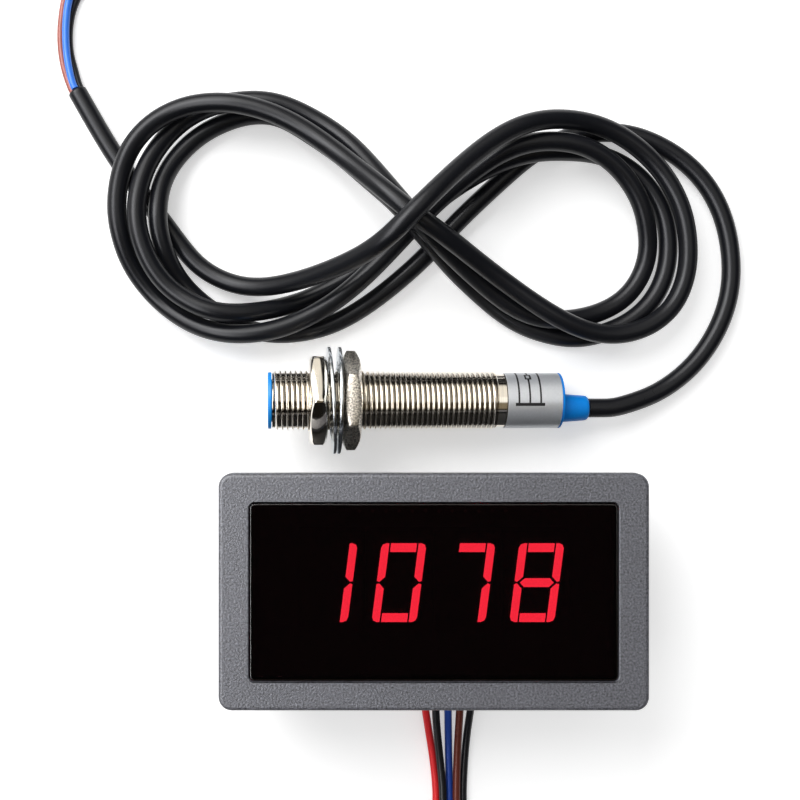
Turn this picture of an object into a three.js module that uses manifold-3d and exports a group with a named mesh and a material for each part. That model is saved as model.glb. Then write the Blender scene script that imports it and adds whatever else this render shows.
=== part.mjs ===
import * as THREE from 'three';
import { mergeVertices } from 'three/addons/utils/BufferGeometryUtils.js';
import Module from 'manifold-3d';

const wasm = await Module();
wasm.setup();

// A panel tachometer and its threaded sensor, in millimetres. The meter lies on its back:
// X runs across the display, Y up it and Z out of it, from the middle of the rear cover.

// Fits that the whole object shares
const overrun = 1;
const seatGap = 0.05;
const cordGap = 0.3;
const turnedGap = 0.3;

// Plug, which sets how high the main board stands over the cover
const coverThickness = 1.8;
const plugX = 3.4;
const plugRise = 0.8;
const plugWidth = 14.8;
const plugThickness = 5.4;
const plugTopGap = 0.2;
const plugZ = coverThickness + plugRise + plugThickness / 2;

// Meter stack, from the cover up: two boards, the digits, the lens behind its bezel
const boardThickness = 1.6;
const boardSpacing = 2.6;
const digitDepth = 6.8;
const digitFilmThickness = 0.3;
const segmentRaise = 0.3;
const lensSpace = 0.2;
const bezelThickness = 3.3;
const mainBoardZ = coverThickness + plugRise + plugThickness + plugTopGap;
const mainBoardTop = mainBoardZ + boardThickness;
const displayBoardZ = mainBoardTop + boardSpacing;
const displayBoardTop = displayBoardZ + boardThickness;
const digitFaceZ = displayBoardTop + seatGap + digitDepth;
const filmBaseZ = digitFaceZ + seatGap;
const filmTopZ = filmBaseZ + digitFilmThickness;
const flangeZ = filmTopZ + segmentRaise + lensSpace;
const meterDepth = flangeZ + bezelThickness;

// Meter case and the bezel round its front end
const caseWidth = 75.4;
const caseHeight = 39.4;
const caseCorner = 1.6;
const caseWall = 1.5;
const cavityWidth = caseWidth - 2 * caseWall;
const cavityHeight = caseHeight - 2 * caseWall;
const coverLipHeight = 1.5;
const coverLipWall = 1.2;
const coverLipGap = 0.15;
const flangeSide = 1.8;
const flangeEnd = 2.05;
const bezelWidth = caseWidth + 2 * flangeSide;
const bezelHeight = caseHeight + 2 * flangeEnd;
const bezelRebate = 0.5;
const bezelCorner = 2.5;
const bezelEdge = 0.7;

// Window and filter lens
const frameSide = 5.6;
const frameEnd = 5.35;
const windowWidth = bezelWidth - 2 * frameSide;
const windowHeight = bezelHeight - 2 * frameEnd;
const windowCorner = 1.1;
const lensGap = 0.15;
const lensRecess = 0.3;
const ledgeSideGap = 0.9;
const ledgeEndGap = 0.4;
const ledgeCorner = 2.5;
const ledgeThickness = 1;

// Panel clips
const panelSpace = 2.5;
const clipWidth = 9;
const clipThickness = 1.4;
const clipRise = 2.4;
const clipBarbReach = 1.5;
const clipBarbLength = 6.6;
const clipBarbLand = 0.6;
const clipSideGap = 0.4;
const clipRootZ = coverThickness + clipRise;
const clipCatchZ = flangeZ - panelSpace;

// Circuit boards: the front one spans the case between the clips, the rear one its corner posts
const clipTravelSpace = 2.8;
const displayBoardGap = 0.6;
const mainBoardSideGap = 0.7;
const mainBoardEndGap = 1.2;
const boardCorner = 0.8;
const casePostSize = 5;
const displayBoardWidth = caseWidth - 2 * (clipThickness + clipTravelSpace);
const displayBoardHeight = cavityHeight - 2 * displayBoardGap;
const mainBoardWidth = cavityWidth - 2 * (casePostSize + mainBoardSideGap);
const mainBoardHeight = cavityHeight - 2 * mainBoardEndGap;
const coverPostRadius = 1.7;
const coverPostInsetX = 4.5;
const coverPostInsetY = 4;
const headerWidth = 30.5;
const headerDepth = 2.5;
const headerInset = 3;

// Digits
const digitPitch = 12.75;
const digitSpacing = 0.3;
const digitWidth = digitPitch - digitSpacing;
const digitHeight = 19;
const digitRise = 1.4;
const digitFilmInset = 0.2;
const glyphWidth = 8.3;
const glyphHeight = 14.55;
const glyphSlant = THREE.MathUtils.degToRad(7.3);
const glyphCorner = 0.9;
const strokeAcross = 1.45;
const strokeUp = 1.6;
const strokeGap = 0.3;
const shownSegments = ['bc', 'abcdef', 'abc', 'abcdefg'];

// Plug and socket
const plugProud = 0.8;
const plugBodyLength = 7.5;
const plugNoseLength = 6;
const plugNoseWidth = 12.2;
const plugNoseThickness = 3.8;
const plugRearY = -caseHeight / 2 - plugProud;
const plugCorner = 0.4;
const plugSlotGap = 0.3;
const socketWall = 0.9;
const socketFloor = 1;
const socketNoseGap = 0.2;
const pinSize = 0.64;
const pinLength = 5;
const pinHoleSize = 1;
const wirePitch = 2.5;

// Parts soldered to the main board
const controllerSize = 7;
const controllerHeight = 1.2;
const controllerX = -12;
const controllerY = 1;
const driverWidth = 10;
const driverDepth = 4;
const driverHeight = 1.6;
const driverX = 10;
const driverY = 2;
const regulatorWidth = 4.6;
const regulatorDepth = 4.2;
const regulatorHeight = 1.5;
const regulatorX = 23;
const regulatorY = -9;
const capacitorRadius = 2.5;
const capacitorLength = 9;
const capacitorX = -21;
const capacitorY = 4;
const crystalWidth = 11;
const crystalDepth = 4.6;
const crystalHeight = 3.5;
const crystalX = 19;
const crystalY = 5;
const chipCorner = 0.3;
const crystalCorner = 2.1;

// Meter wires: insulated size, the free run of each and the coil that all five share
const wireDiameter = 1.55;
const wireLength = 150;
const coreDiameter = 0.7;
const coreLength = 5;
const wireSides = 8;
const wireSteps = 14;
const coilSides = 6;
const coilStepsPerTurn = 24;
const coilX = -6.9;
const coilY = -66;
const coilInnerRadius = 7;
const coilSpacing = 1.9;
const coilClimb = 2;
const coilClimbShares = [0.25, 0.75];
const coilFloorZ = 0.83;
const wireStraight = 2;
const wireNames = ['red', 'black', 'blue', 'brown', 'dark'];
const wireRoutes = [
  [[-1.3, -25.6, 4.5], [-0.8, -29, 2.9], [-0.2, -33, 1.45], [0.6, -38, 0.83], [1.1, -43, 0.83],
    [1.25, -47, 0.83], [0.4, -50.5, 0.83], [0.1, -54, 0.83], [0.1, -58, 0.83]],
  [[0.9, -25.6, 4.9], [1.05, -29, 4], [1.4, -33, 3.1], [1.95, -38, 2.3], [2.45, -43, 2.15],
    [2.55, -47, 2.1], [2.2, -50.5, 1.6], [2, -54, 0.95], [2, -58, 0.83]],
  [[3.4, -25.6, 4.5], [3.5, -29, 2.9], [3.6, -33, 1.45], [3.7, -38, 0.83], [3.85, -43, 0.83],
    [3.9, -47, 0.83], [3.9, -50.5, 0.83], [3.9, -54, 0.83], [3.9, -58, 0.83]],
  [[5.8, -25.6, 4.9], [5.7, -29, 4], [5.5, -33, 3.1], [5.3, -38, 2.3], [5.2, -43, 2.15],
    [5.2, -47, 2.1], [5.6, -50.5, 1.6], [5.8, -54, 0.95], [5.8, -58, 0.83]],
  [[8.1, -25.6, 4.5], [7.75, -29, 2.9], [7.3, -33, 1.45], [6.9, -38, 0.83], [6.65, -43, 0.83],
    [6.55, -47, 0.83], [7.3, -50.5, 0.83], [7.65, -54, 0.83], [7.7, -58, 0.83]],
];

// Sensor barrel, label, caps and boot
const cableDiameter = 3.8;
const barrelRadius = 5.9;
const barrelChamfer = 0.6;
const threadLength = 43.7;
const threadDepth = 0.55;
const reliefRadius = barrelRadius - threadDepth;
const reliefLength = 1.75;
const labelSeatStep = 0.9;
const labelSeatRadius = barrelRadius - labelSeatStep;
const labelSeatLength = 10.7;
const labelThickness = 0.2;
const labelRadius = labelSeatRadius + turnedGap + labelThickness;
const barrelWall = 0.6;
const barrelBore = labelSeatRadius - barrelWall;
const barrelLength = threadLength + reliefLength + labelSeatLength;
const capInset = 0.4;
const capRadius = barrelRadius - capInset;
const capThickness = 0.55;
const spigotLength = 4.5;
const spigotRadius = barrelBore - turnedGap;
const rearCapThickness = 0.4;
const reliefBootLength = 5.75;
const bootWall = 0.6;
const bootTaper = 0.35;
const bootEndRadius = cableDiameter / 2 + bootWall;
const bootStartRadius = bootEndRadius + bootTaper;
const bootRounding = 0.7;
const bootOffset = 1.5;
const roundSides = 32;
const lampSides = 12;

// Nuts and lock washers
const nutAcrossFlats = 17;
const nutThickness = 3.4;
const nutFaceInset = 0.4;
const nutFaceRadius = nutAcrossFlats / 2 - nutFaceInset;
const nutChamferDepth = 0.9;
const nutBoreGap = 0.35;
const nutBoreRadius = barrelRadius + nutBoreGap;
const frontNutX = 7.1;
const frontNutTurn = THREE.MathUtils.degToRad(0);
const rearNutTurn = THREE.MathUtils.degToRad(30);
const washerRadius = 10.5;
const washerTipGap = 0.45;
const washerToothDepth = 1.35;
const washerTipRadius = barrelRadius + washerTipGap;
const washerRootRadius = washerTipRadius + washerToothDepth;
const washerTeeth = 12;
const washerThickness = 0.6;
const washerToothShare = 0.5;
const frontWasherTilt = THREE.MathUtils.degToRad(3);
const rearWasherTilt = THREE.MathUtils.degToRad(0.4);
const washerGap = 0.25;
const frontNutFace = frontNutX + nutThickness;
const frontWasherX = frontNutFace + washerGap + washerThickness / 2
  + nutFaceRadius * Math.sin(frontWasherTilt);
const rearWasherX = frontWasherX + washerThickness + washerGap
  + washerRadius * (Math.sin(frontWasherTilt) + Math.sin(rearWasherTilt));
const rearNutX = rearWasherX + washerThickness / 2 + washerGap + nutFaceRadius * Math.sin(rearWasherTilt);

// Sensor: its place and tilt as it lies on the rims of its lock washers and the edge of its tail
const restGap = 0.05;
const sensorX = -31;
const sensorY = 35.1;
const sensorTilt = THREE.MathUtils.degToRad(6.5);
const sensorZ = restGap + (rearWasherX + washerThickness / 2) * Math.sin(sensorTilt)
  + washerRadius * Math.cos(sensorTilt);

// Inside the sensor
const sensorBoardEdgeGap = 0.4;
const sensorBoardEndSpace = 3.8;
const sensorBoardWidth = 2 * (barrelBore - sensorBoardEdgeGap);
const sensorBoardThickness = 1;
const sensorBoardLength = barrelLength - 2 * (spigotLength + turnedGap) - sensorBoardEndSpace;
const elementWidth = 4;
const elementHeight = 1.5;
const elementLength = 3;
const ledRadius = 1;
const ledLength = 3.2;
const ledWall = 0.2;
const ledY = spigotRadius - ledWall - turnedGap - ledRadius;
const ledProud = 0.5;

// Sensor cable: it leaves the boot, lies in three and a half figures of eight and ends beyond them
const cableSides = 8;
const cableSteps = 160;
const cableStraight = 2.7;
const cableRoute = [
  [41.9, 35.1, 3.3], [47, 37.1, 2.1], [53.5, 42.1, 2.1], [58.4, 49.5, 2.1], [60.8, 57, 2.1],
  [60.95, 64.5, 2.1], [59.45, 72.3, 2.1], [55.95, 79.1, 2.1], [50.8, 84.2, 2.1], [45, 87.5, 2.1],
  [39.7, 89.2, 2.1], [33.9, 89.5, 2.1], [27.2, 88.4, 2.1], [21.3, 85.6, 2.1], [16.3, 81.5, 2.1],
  [10, 75.7, 2.1], [4.1, 70, 2.1], [-0.55, 64.5, 2.1], [-9.05, 57, 2.1], [-16.9, 51.6, 2.1],
  [-23.4, 49.2, 2.1], [-29.5, 48.4, 2.1], [-34.9, 48.8, 2.1], [-40, 50.6, 2.1], [-45.1, 53.8, 2.1],
  [-49.4, 57.6, 2.3], [-52, 61.5, 4.2], [-53.4, 65.7, 6], [-54.3, 69.7, 6.6], [-54.4, 74, 6.4],
  [-53.85, 79.8, 4.1], [-50.65, 85.4, 2.1], [-46.2, 89.2, 2.1], [-41.35, 91.6, 2.1], [-36.4, 93.05, 2.1],
  [-30.5, 92.85, 2.1], [-24.4, 88.9, 2.1], [-18, 84.5, 3.2], [-11.9, 78.5, 6.2], [-6.5, 73.4, 10.5],
  [-2.7, 68.5, 11], [0.9, 65, 8], [4.2, 61.4, 5.2], [8.55, 57.55, 3], [13.25, 53.45, 2.1],
  [17.95, 50.35, 2.1], [22.35, 48.75, 2.1], [26.4, 47.8, 2.1], [30.6, 47.6, 2.1], [35.5, 48.8, 2.1],
  [40.3, 50.9, 2.1], [44.6, 54.6, 2.1], [47.5, 59.9, 2.1], [48.3, 66, 2.1], [47.6, 72, 2.1],
  [45.2, 77.1, 2.1], [40.8, 82, 2.1], [34.2, 85, 2.6], [27.4, 84.9, 5.15], [21.6, 84.6, 6.5],
  [16.2, 83.5, 6.5], [10.4, 81.1, 4.9], [4.7, 77.9, 2.8], [-0.1, 74.3, 2.1], [-6.2, 69, 2.1],
  [-11.1, 64.3, 2.1], [-15.7, 60.5, 2.1], [-20.4, 57.7, 2.1], [-26.5, 54.8, 2.1], [-33.9, 52.7, 6],
  [-41.1, 52.1, 8.4], [-46.4, 53.7, 8.1], [-51.9, 57.1, 7.6], [-55.6, 62, 8.4], [-57.8, 68.2, 8.8],
  [-58.4, 73.6, 8.3], [-57.2, 80.4, 7.1], [-54.4, 86.6, 4.5], [-50.1, 91.5, 3.3], [-44.3, 94, 5],
  [-39.8, 94.6, 5.8], [-34.8, 94.9, 6.5], [-29.6, 94.2, 6.4], [-23.55, 91.35, 6.4], [-16.95, 86.95, 7.5],
  [-11.55, 80.65, 10.7], [-6.2, 73.5, 15], [-1.8, 68.5, 15], [1.9, 65.1, 12.9], [5.9, 61.6, 9.8],
  [12.6, 56, 7.2], [17.9, 52.5, 6.2], [23.5, 51, 5.6], [29.8, 51.5, 3.7], [35.3, 53.2, 2.1],
  [39.7, 55.9, 2.1], [42.8, 60.3, 2.1], [44.1, 65.5, 2.7], [43.2, 70.9, 4.5], [41.55, 75.75, 5.6],
  [37.45, 81.25, 6.9], [31.45, 85.05, 8.6], [25.3, 86, 9.9], [19.3, 85.6, 10.8], [13.3, 83.6, 10.4],
  [7.2, 79.5, 8.3], [0.6, 74.2, 6.2], [-5.4, 67.8, 6.4], [-11, 61.8, 6.5], [-15.5, 57.6, 6.5],
  [-20.1, 54.1, 6.2], [-26.2, 50.7, 6.3], [-32.2, 48.7, 6.6], [-38.4, 48.1, 6.2], [-44.2, 48.9, 5.2],
  [-49.9, 51.3, 3.4], [-55.8, 55.8, 2.1], [-60.4, 62.1, 4], [-62.05, 68.6, 6.5], [-62.65, 73.9, 6.6],
  [-61.95, 79.9, 6.6], [-59.45, 85.95, 7.5], [-54.55, 90.95, 7.4], [-47.75, 93.55, 8.6],
  [-40.5, 93.6, 10.1], [-34.9, 92.6, 10.4], [-29, 90.5, 10.7], [-22.7, 86.7, 11.2], [-15.6, 80.8, 13.6],
  [-10, 75.7, 17.8], [-5.4, 71.6, 19.4], [-1.3, 68.6, 19.4], [3, 65.95, 17.4], [9.5, 61.4, 13],
  [16.3, 56.65, 10.6], [23.95, 51.5, 9.9], [31.1, 48.5, 7.8], [37.3, 47.9, 6.5], [43.5, 49.6, 5.6],
  [48.6, 53.6, 4.7], [51.1, 59.4, 4.9], [51.6, 65.6, 5.2], [50.5, 73.2, 5.3], [46.8, 80.4, 5.2],
  [41.25, 85.75, 6], [34.3, 89.45, 7.6], [26.3, 90.3, 10.6], [19.4, 89, 13.8], [13.6, 86.2, 15.8],
  [8, 81.8, 18], [2.5, 76.3, 21.6], [-2.9, 70.6, 24.4], [-8.4, 65.2, 22.6], [-13.4, 62.4, 18],
  [-19.5, 60.3, 13.4], [-25.9, 58.6, 9], [-34, 57.4, 5], [-40.65, 58.55, 2.8], [-46.85, 61.85, 2.1],
  [-50.85, 66.75, 2.1], [-54.6, 72, 2.1], [-59.2, 77.7, 2.1], [-64.5, 85.45, 2.1], [-68.1, 91.6, 2.1],
  [-71.55, 97.7, 2.1],
];

// Sensor leads: three insulated cores that the jacket ends around
const leadDiameter = 1.45;
const leadSteps = 16;
const leadStraight = 1;
const leadSpread = 0.85;
const leadDrop = 0.5;
const leadRise = 0.95;
const leadNames = ['brown', 'blue', 'black'];
const leadRoutes = [
  [[-74.3, 101.9, 1], [-75, 105.2, 0.78], [-75.3, 108.8, 0.78], [-75.1, 112.6, 0.78],
    [-74.4, 117.2, 0.78], [-73, 121.9, 0.78], [-70, 126.4, 0.78], [-66, 129.4, 0.78], [-61.6, 131, 0.78],
    [-56.9, 131.8, 0.78], [-52, 132.2, 0.78]],
  [[-73.05, 102.2, 2.8], [-73.6, 105.4, 2.5], [-73.8, 108.8, 2.45], [-73.7, 112.4, 2.45],
    [-73.2, 116.4, 2.35], [-71.85, 120.6, 1.7], [-69.2, 124.2, 0.78], [-65.2, 126.9, 0.78],
    [-60.9, 128.4, 0.78], [-55.8, 129, 0.78], [-50.6, 129.2, 0.78]],
  [[-72.45, 102.7, 0.85], [-73.3, 105.4, 0.78], [-73.6, 108.8, 0.78], [-73.35, 112.6, 0.78],
    [-72.2, 116.6, 0.78], [-69.7, 120.5, 0.78], [-66.8, 123.2, 0.78], [-63.4, 124.8, 0.78],
    [-59.4, 125.6, 0.78], [-54, 126, 0.78], [-48.8, 126.2, 0.78]],
];

// Finishes
const finishes = {
  bezel: { color: 0x5c6067, roughness: 0.6, metalness: 0 },
  lens: { color: 0x120608, roughness: 0.08, metalness: 0 },
  case: { color: 0x24262a, roughness: 0.6, metalness: 0 },
  board: { color: 0x1d5b38, roughness: 0.5, metalness: 0 },
  digit: { color: 0x2a2a2c, roughness: 0.6, metalness: 0 },
  segment: { color: 0xff2030, roughness: 0.4, metalness: 0 },
  chip: { color: 0x1a1a1c, roughness: 0.5, metalness: 0 },
  plug: { color: 0xece8dc, roughness: 0.5, metalness: 0 },
  steel: { color: 0xc4bfb6, roughness: 0.25, metalness: 1 },
  blue: { color: 0x1a7fdc, roughness: 0.4, metalness: 0 },
  foil: { color: 0xc6c9cc, roughness: 0.4, metalness: 0.6 },
  jacket: { color: 0x1b1c1f, roughness: 0.5, metalness: 0 },
  red: { color: 0xc8201c, roughness: 0.45, metalness: 0 },
  black: { color: 0x18181a, roughness: 0.45, metalness: 0 },
  dark: { color: 0x18181a, roughness: 0.45, metalness: 0 },
  brown: { color: 0x7a3f22, roughness: 0.45, metalness: 0 },
};

const object = new THREE.Group();

// A named piece in its own material
function piece(name, geometry, finish, parent = object) {
  const mesh = new THREE.Mesh(geometry, new THREE.MeshStandardMaterial(finish));
  mesh.name = name;
  parent.add(mesh);
  return mesh;
}

// A closed geometry as a solid to cut and join
function solid(geometry) {
  const bare = geometry.clone();
  bare.deleteAttribute('normal');
  bare.deleteAttribute('uv');
  const merged = mergeVertices(bare);
  const vertProperties = new Float32Array(merged.attributes.position.array);
  const triVerts = new Uint32Array(merged.index.array);
  return new wasm.Manifold(new wasm.Mesh({ numProp: 3, vertProperties, triVerts }));
}

// A solid back as a geometry
function shaped(body) {
  const mesh = body.getMesh();
  const geometry = new THREE.BufferGeometry();
  geometry.setAttribute('position', new THREE.BufferAttribute(mesh.vertProperties, 3));
  geometry.setIndex(new THREE.BufferAttribute(mesh.triVerts, 1));
  geometry.computeVertexNormals();
  return geometry;
}

// A rectangle with round corners about the origin, or about a centre
function roundedRect(width, height, radius, centreX = 0, centreY = 0) {
  const shape = new THREE.Shape();
  const x = width / 2;
  const y = height / 2;
  shape.moveTo(centreX - x + radius, centreY - y);
  shape.lineTo(centreX + x - radius, centreY - y);
  shape.absarc(centreX + x - radius, centreY - y + radius, radius, -Math.PI / 2, 0);
  shape.lineTo(centreX + x, centreY + y - radius);
  shape.absarc(centreX + x - radius, centreY + y - radius, radius, 0, Math.PI / 2);
  shape.lineTo(centreX - x + radius, centreY + y);
  shape.absarc(centreX - x + radius, centreY + y - radius, radius, Math.PI / 2, Math.PI);
  shape.lineTo(centreX - x, centreY - y + radius);
  shape.absarc(centreX - x + radius, centreY - y + radius, radius, Math.PI, 1.5 * Math.PI);
  return shape;
}

// A flat shape made as thick as the space between two heights
function slab(shape, low, high, curveSegments = 4) {
  const depth = high - low;
  return new THREE.ExtrudeGeometry(shape, { depth, bevelEnabled: false, curveSegments }).translate(0, 0, low);
}

// A block between two corners
function block(low, high) {
  const geometry = new THREE.BoxGeometry(high[0] - low[0], high[1] - low[1], high[2] - low[2]);
  return geometry.translate((low[0] + high[0]) / 2, (low[1] + high[1]) / 2, (low[2] + high[2]) / 2);
}

// A profile of radius and place along the axis, turned about X
function turned(profile, segments) {
  const points = profile.map(([radius, along]) => new THREE.Vector2(radius, along));
  return new THREE.LatheGeometry(points, segments).rotateZ(-Math.PI / 2);
}

// A smooth cord along a list of places: a uniform cubic B-spline that starts and ends on its first and last
class CordCurve extends THREE.Curve {
  constructor(places) {
    super();
    const points = places.map((place) => new THREE.Vector3(...place));
    const last = points.length - 1;
    const before = points[0].clone().multiplyScalar(2).sub(points[1]);
    const after = points[last].clone().multiplyScalar(2).sub(points[last - 1]);
    this.points = [before, ...points, after];
    this.arcLengthDivisions = 12 * last;
  }

  getPoint(share, target = new THREE.Vector3()) {
    const spans = this.points.length - 3;
    const span = Math.min(Math.floor(share * spans), spans - 1);
    const t = share * spans - span;
    const weights = [(1 - t) ** 3, 3 * t ** 3 - 6 * t ** 2 + 4, -3 * t ** 3 + 3 * t ** 2 + 3 * t + 1, t ** 3];
    target.set(0, 0, 0);
    weights.forEach((weight, index) => target.addScaledVector(this.points[span + index], weight / 6));
    return target;
  }
}

// A round tube along a curve
function tube(curve, diameter, steps, sides) {
  const section = new THREE.Shape();
  for (let side = 0; side < sides; side += 1) {
    const angle = (2 * Math.PI * side) / sides;
    const x = (diameter / 2) * Math.cos(angle);
    const y = (diameter / 2) * Math.sin(angle);
    if (side === 0) section.moveTo(x, y);
    else section.lineTo(x, y);
  }
  return new THREE.ExtrudeGeometry(section, { steps, extrudePath: curve, bevelEnabled: false });
}

// The least free space that a cord leaves between its own strands
function leastGap(curve, diameter, samples) {
  const points = curve.getSpacedPoints(samples);
  const apart = Math.ceil((3.5 * diameter * samples) / curve.getLength());
  let least = Infinity;
  for (let i = 0; i < points.length; i += 1) {
    for (let j = i + apart; j < points.length; j += 1) {
      least = Math.min(least, points[i].distanceTo(points[j]));
    }
  }
  return least - diameter;
}

const ledgeWidth = cavityWidth - 2 * ledgeSideGap;
const ledgeHeight = cavityHeight - 2 * ledgeEndGap;

// Bezel: a frame with round edges, recessed behind for the lens and for the rim of the case
function bezel() {
  const inner = roundedRect(bezelWidth - 2 * bezelEdge, bezelHeight - 2 * bezelEdge, bezelCorner - bezelEdge);
  const blank = new THREE.ExtrudeGeometry(inner, {
    depth: bezelThickness,
    bevelEnabled: true,
    bevelThickness: bezelEdge,
    bevelSize: bezelEdge,
    bevelSegments: 3,
    curveSegments: 4,
  }).translate(0, 0, flangeZ - bezelEdge);
  const keep = block([-bezelWidth, -bezelHeight, flangeZ], [bezelWidth, bezelHeight, meterDepth + overrun]);
  const window = roundedRect(windowWidth, windowHeight, windowCorner);
  const opening = slab(window, flangeZ - overrun, meterDepth + overrun);
  const seat = roundedRect(ledgeWidth + 2 * lensGap, ledgeHeight + 2 * lensGap, ledgeCorner + lensGap);
  const seatTop = flangeZ + ledgeThickness + seatGap;
  const rim = roundedRect(caseWidth + 2 * seatGap, caseHeight + 2 * seatGap, caseCorner + seatGap);
  return shaped(solid(blank)
    .intersect(solid(keep))
    .subtract(solid(opening))
    .subtract(solid(slab(seat, flangeZ - overrun, seatTop)))
    .subtract(solid(slab(rim, flangeZ - overrun, flangeZ + bezelRebate))));
}
piece('front_bezel', bezel(), finishes.bezel);

// Filter lens: a pane in the window with a thinner ledge behind the bezel
function lens() {
  const width = windowWidth - 2 * lensGap;
  const height = windowHeight - 2 * lensGap;
  const corner = windowCorner - lensGap;
  const pane = slab(roundedRect(width, height, corner), flangeZ, meterDepth - lensRecess);
  const ledge = slab(roundedRect(ledgeWidth, ledgeHeight, ledgeCorner), flangeZ, flangeZ + ledgeThickness);
  return shaped(solid(pane).add(solid(ledge)));
}
piece('filter_lens', lens(), finishes.lens);

// The space that the plug passes through, from outside the case to behind its wall
function plugPassage() {
  const x = plugWidth / 2 + plugSlotGap;
  const z = plugThickness / 2 + plugSlotGap;
  return block([plugX - x, -caseHeight / 2 - overrun, plugZ - z],
    [plugX + x, -cavityHeight / 2 + 2 * coverLipWall, plugZ + z]);
}

// Case: four walls, corner posts for the display board, windows for the clips and a slot for the plug
const coverTop = coverThickness + seatGap;
const caseTop = flangeZ + bezelRebate - seatGap;
function rearCase() {
  let body = solid(slab(roundedRect(caseWidth, caseHeight, caseCorner), coverTop, caseTop));
  const cavity = roundedRect(cavityWidth, cavityHeight, caseCorner / 2);
  body = body.subtract(solid(slab(cavity, coverTop - overrun, caseTop + overrun)));
  const postTop = displayBoardZ - seatGap;
  const postBase = coverTop + coverLipHeight + turnedGap;
  const windowY = clipWidth / 2 + clipSideGap;
  for (const sideX of [-1, 1]) {
    for (const sideY of [-1, 1]) {
      const outerX = sideX * (cavityWidth + caseWall) / 2;
      const innerX = sideX * (cavityWidth / 2 - casePostSize);
      const outerY = sideY * (cavityHeight + caseWall) / 2;
      const innerY = sideY * (cavityHeight / 2 - casePostSize);
      body = body.add(solid(block([Math.min(outerX, innerX), Math.min(outerY, innerY), postBase],
        [Math.max(outerX, innerX), Math.max(outerY, innerY), postTop])));
    }
    const wallX = sideX * (caseWidth - caseWall) / 2;
    body = body.subtract(solid(block([wallX - caseWall, -windowY, clipRootZ - clipSideGap],
      [wallX + caseWall, windowY, clipCatchZ + clipSideGap])));
  }
  return shaped(body.subtract(solid(plugPassage())));
}
piece('rear_case', rearCase(), finishes.case);

// Rear cover: a flat plate with a lip inside the case and four posts under the main board
function rearCover() {
  const lipWidth = cavityWidth - 2 * coverLipGap;
  const lipHeight = cavityHeight - 2 * coverLipGap;
  const lipTop = coverThickness + coverLipHeight;
  const corner = caseCorner / 2;
  const lipOutline = roundedRect(lipWidth, lipHeight, corner);
  lipOutline.holes.push(roundedRect(lipWidth - 2 * coverLipWall, lipHeight - 2 * coverLipWall, corner));
  let body = solid(slab(roundedRect(caseWidth, caseHeight, caseCorner), 0, coverThickness));
  body = body.add(solid(slab(lipOutline, coverThickness / 2, lipTop)));
  for (const sideX of [-1, 1]) {
    for (const sideY of [-1, 1]) {
      const post = new THREE.Shape();
      const postX = sideX * (mainBoardWidth / 2 - coverPostInsetX);
      const postY = sideY * (mainBoardHeight / 2 - coverPostInsetY);
      post.absarc(postX, postY, coverPostRadius, 0, 2 * Math.PI);
      body = body.add(solid(slab(post, coverThickness / 2, mainBoardZ - seatGap, 12)));
    }
  }
  return shaped(body.subtract(solid(plugPassage())));
}
piece('rear_cover', rearCover(), finishes.case);

// Panel clips: spring tongues that turn about their round feet, with a barb that catches behind the panel
function clipProfile(side) {
  const outer = caseWidth / 2;
  const inner = outer - clipThickness;
  const footRadius = clipThickness / 2;
  const footZ = clipRootZ + footRadius;
  const barbX = outer + clipBarbReach;
  const shape = new THREE.Shape();
  const footTurn = side > 0 ? [Math.PI, 2 * Math.PI] : [0, -Math.PI];
  shape.absarc(side * (outer - footRadius), footZ, footRadius, ...footTurn, side < 0);
  shape.lineTo(side * outer, clipCatchZ - clipBarbLength);
  shape.lineTo(side * barbX, clipCatchZ - clipBarbLand);
  shape.lineTo(side * barbX, clipCatchZ);
  shape.lineTo(side * inner, clipCatchZ);
  return shape;
}
for (const [name, side] of [['panel_clip_left', -1], ['panel_clip_right', 1]]) {
  const clip = slab(clipProfile(side), -clipWidth / 2, clipWidth / 2, 6).rotateX(Math.PI / 2);
  piece(name, clip, finishes.case);
}

// Boards and the header strip between them
const displayBoardOutline = roundedRect(displayBoardWidth, displayBoardHeight, boardCorner);
piece('display_board', slab(displayBoardOutline, displayBoardZ, displayBoardTop), finishes.board);
const mainBoardOutline = roundedRect(mainBoardWidth, mainBoardHeight, boardCorner);
piece('main_board', slab(mainBoardOutline, mainBoardZ, mainBoardTop), finishes.board);
const headerY = mainBoardHeight / 2 - headerInset;
piece('board_header',
  block([-headerWidth / 2, headerY - headerDepth / 2, mainBoardTop + seatGap],
    [headerWidth / 2, headerY + headerDepth / 2, displayBoardZ - seatGap]), finishes.chip);

// The seven strokes of a digit by their usual letters: four uprights with a round outer corner and a mitred
// inner end, two level bars between them and a pointed bar across the middle
function strokeOutlines() {
  const outer = glyphWidth / 2;
  const top = glyphHeight / 2;
  const inner = outer - strokeAcross;
  const barEnd = inner - strokeGap;
  const tip = outer - strokeAcross / 2 - strokeGap;
  const bend = glyphCorner * (1 - Math.SQRT1_2);
  const upright = [
    [outer, strokeGap], [outer, top - glyphCorner], [outer - bend, top - bend], [outer - glyphCorner, top],
    [inner, top], [inner, strokeUp / 2 + strokeGap], [outer - strokeAcross / 3, strokeGap / 2],
  ];
  const bar = [[-barEnd, top - strokeUp], [barEnd, top - strokeUp], [barEnd, top], [-barEnd, top]];
  const middle = [
    [-tip, 0], [-tip + strokeUp / 2, -strokeUp / 2], [tip - strokeUp / 2, -strokeUp / 2],
    [tip, 0], [tip - strokeUp / 2, strokeUp / 2], [-tip + strokeUp / 2, strokeUp / 2],
  ];
  const flipped = (outline, acrossSign, upSign) => outline.map(([x, y]) => [x * acrossSign, y * upSign]);
  return {
    a: bar,
    b: upright,
    c: flipped(upright, 1, -1),
    d: flipped(bar, 1, -1),
    e: flipped(upright, -1, -1),
    f: flipped(upright, -1, 1),
    g: middle,
  };
}

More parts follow.
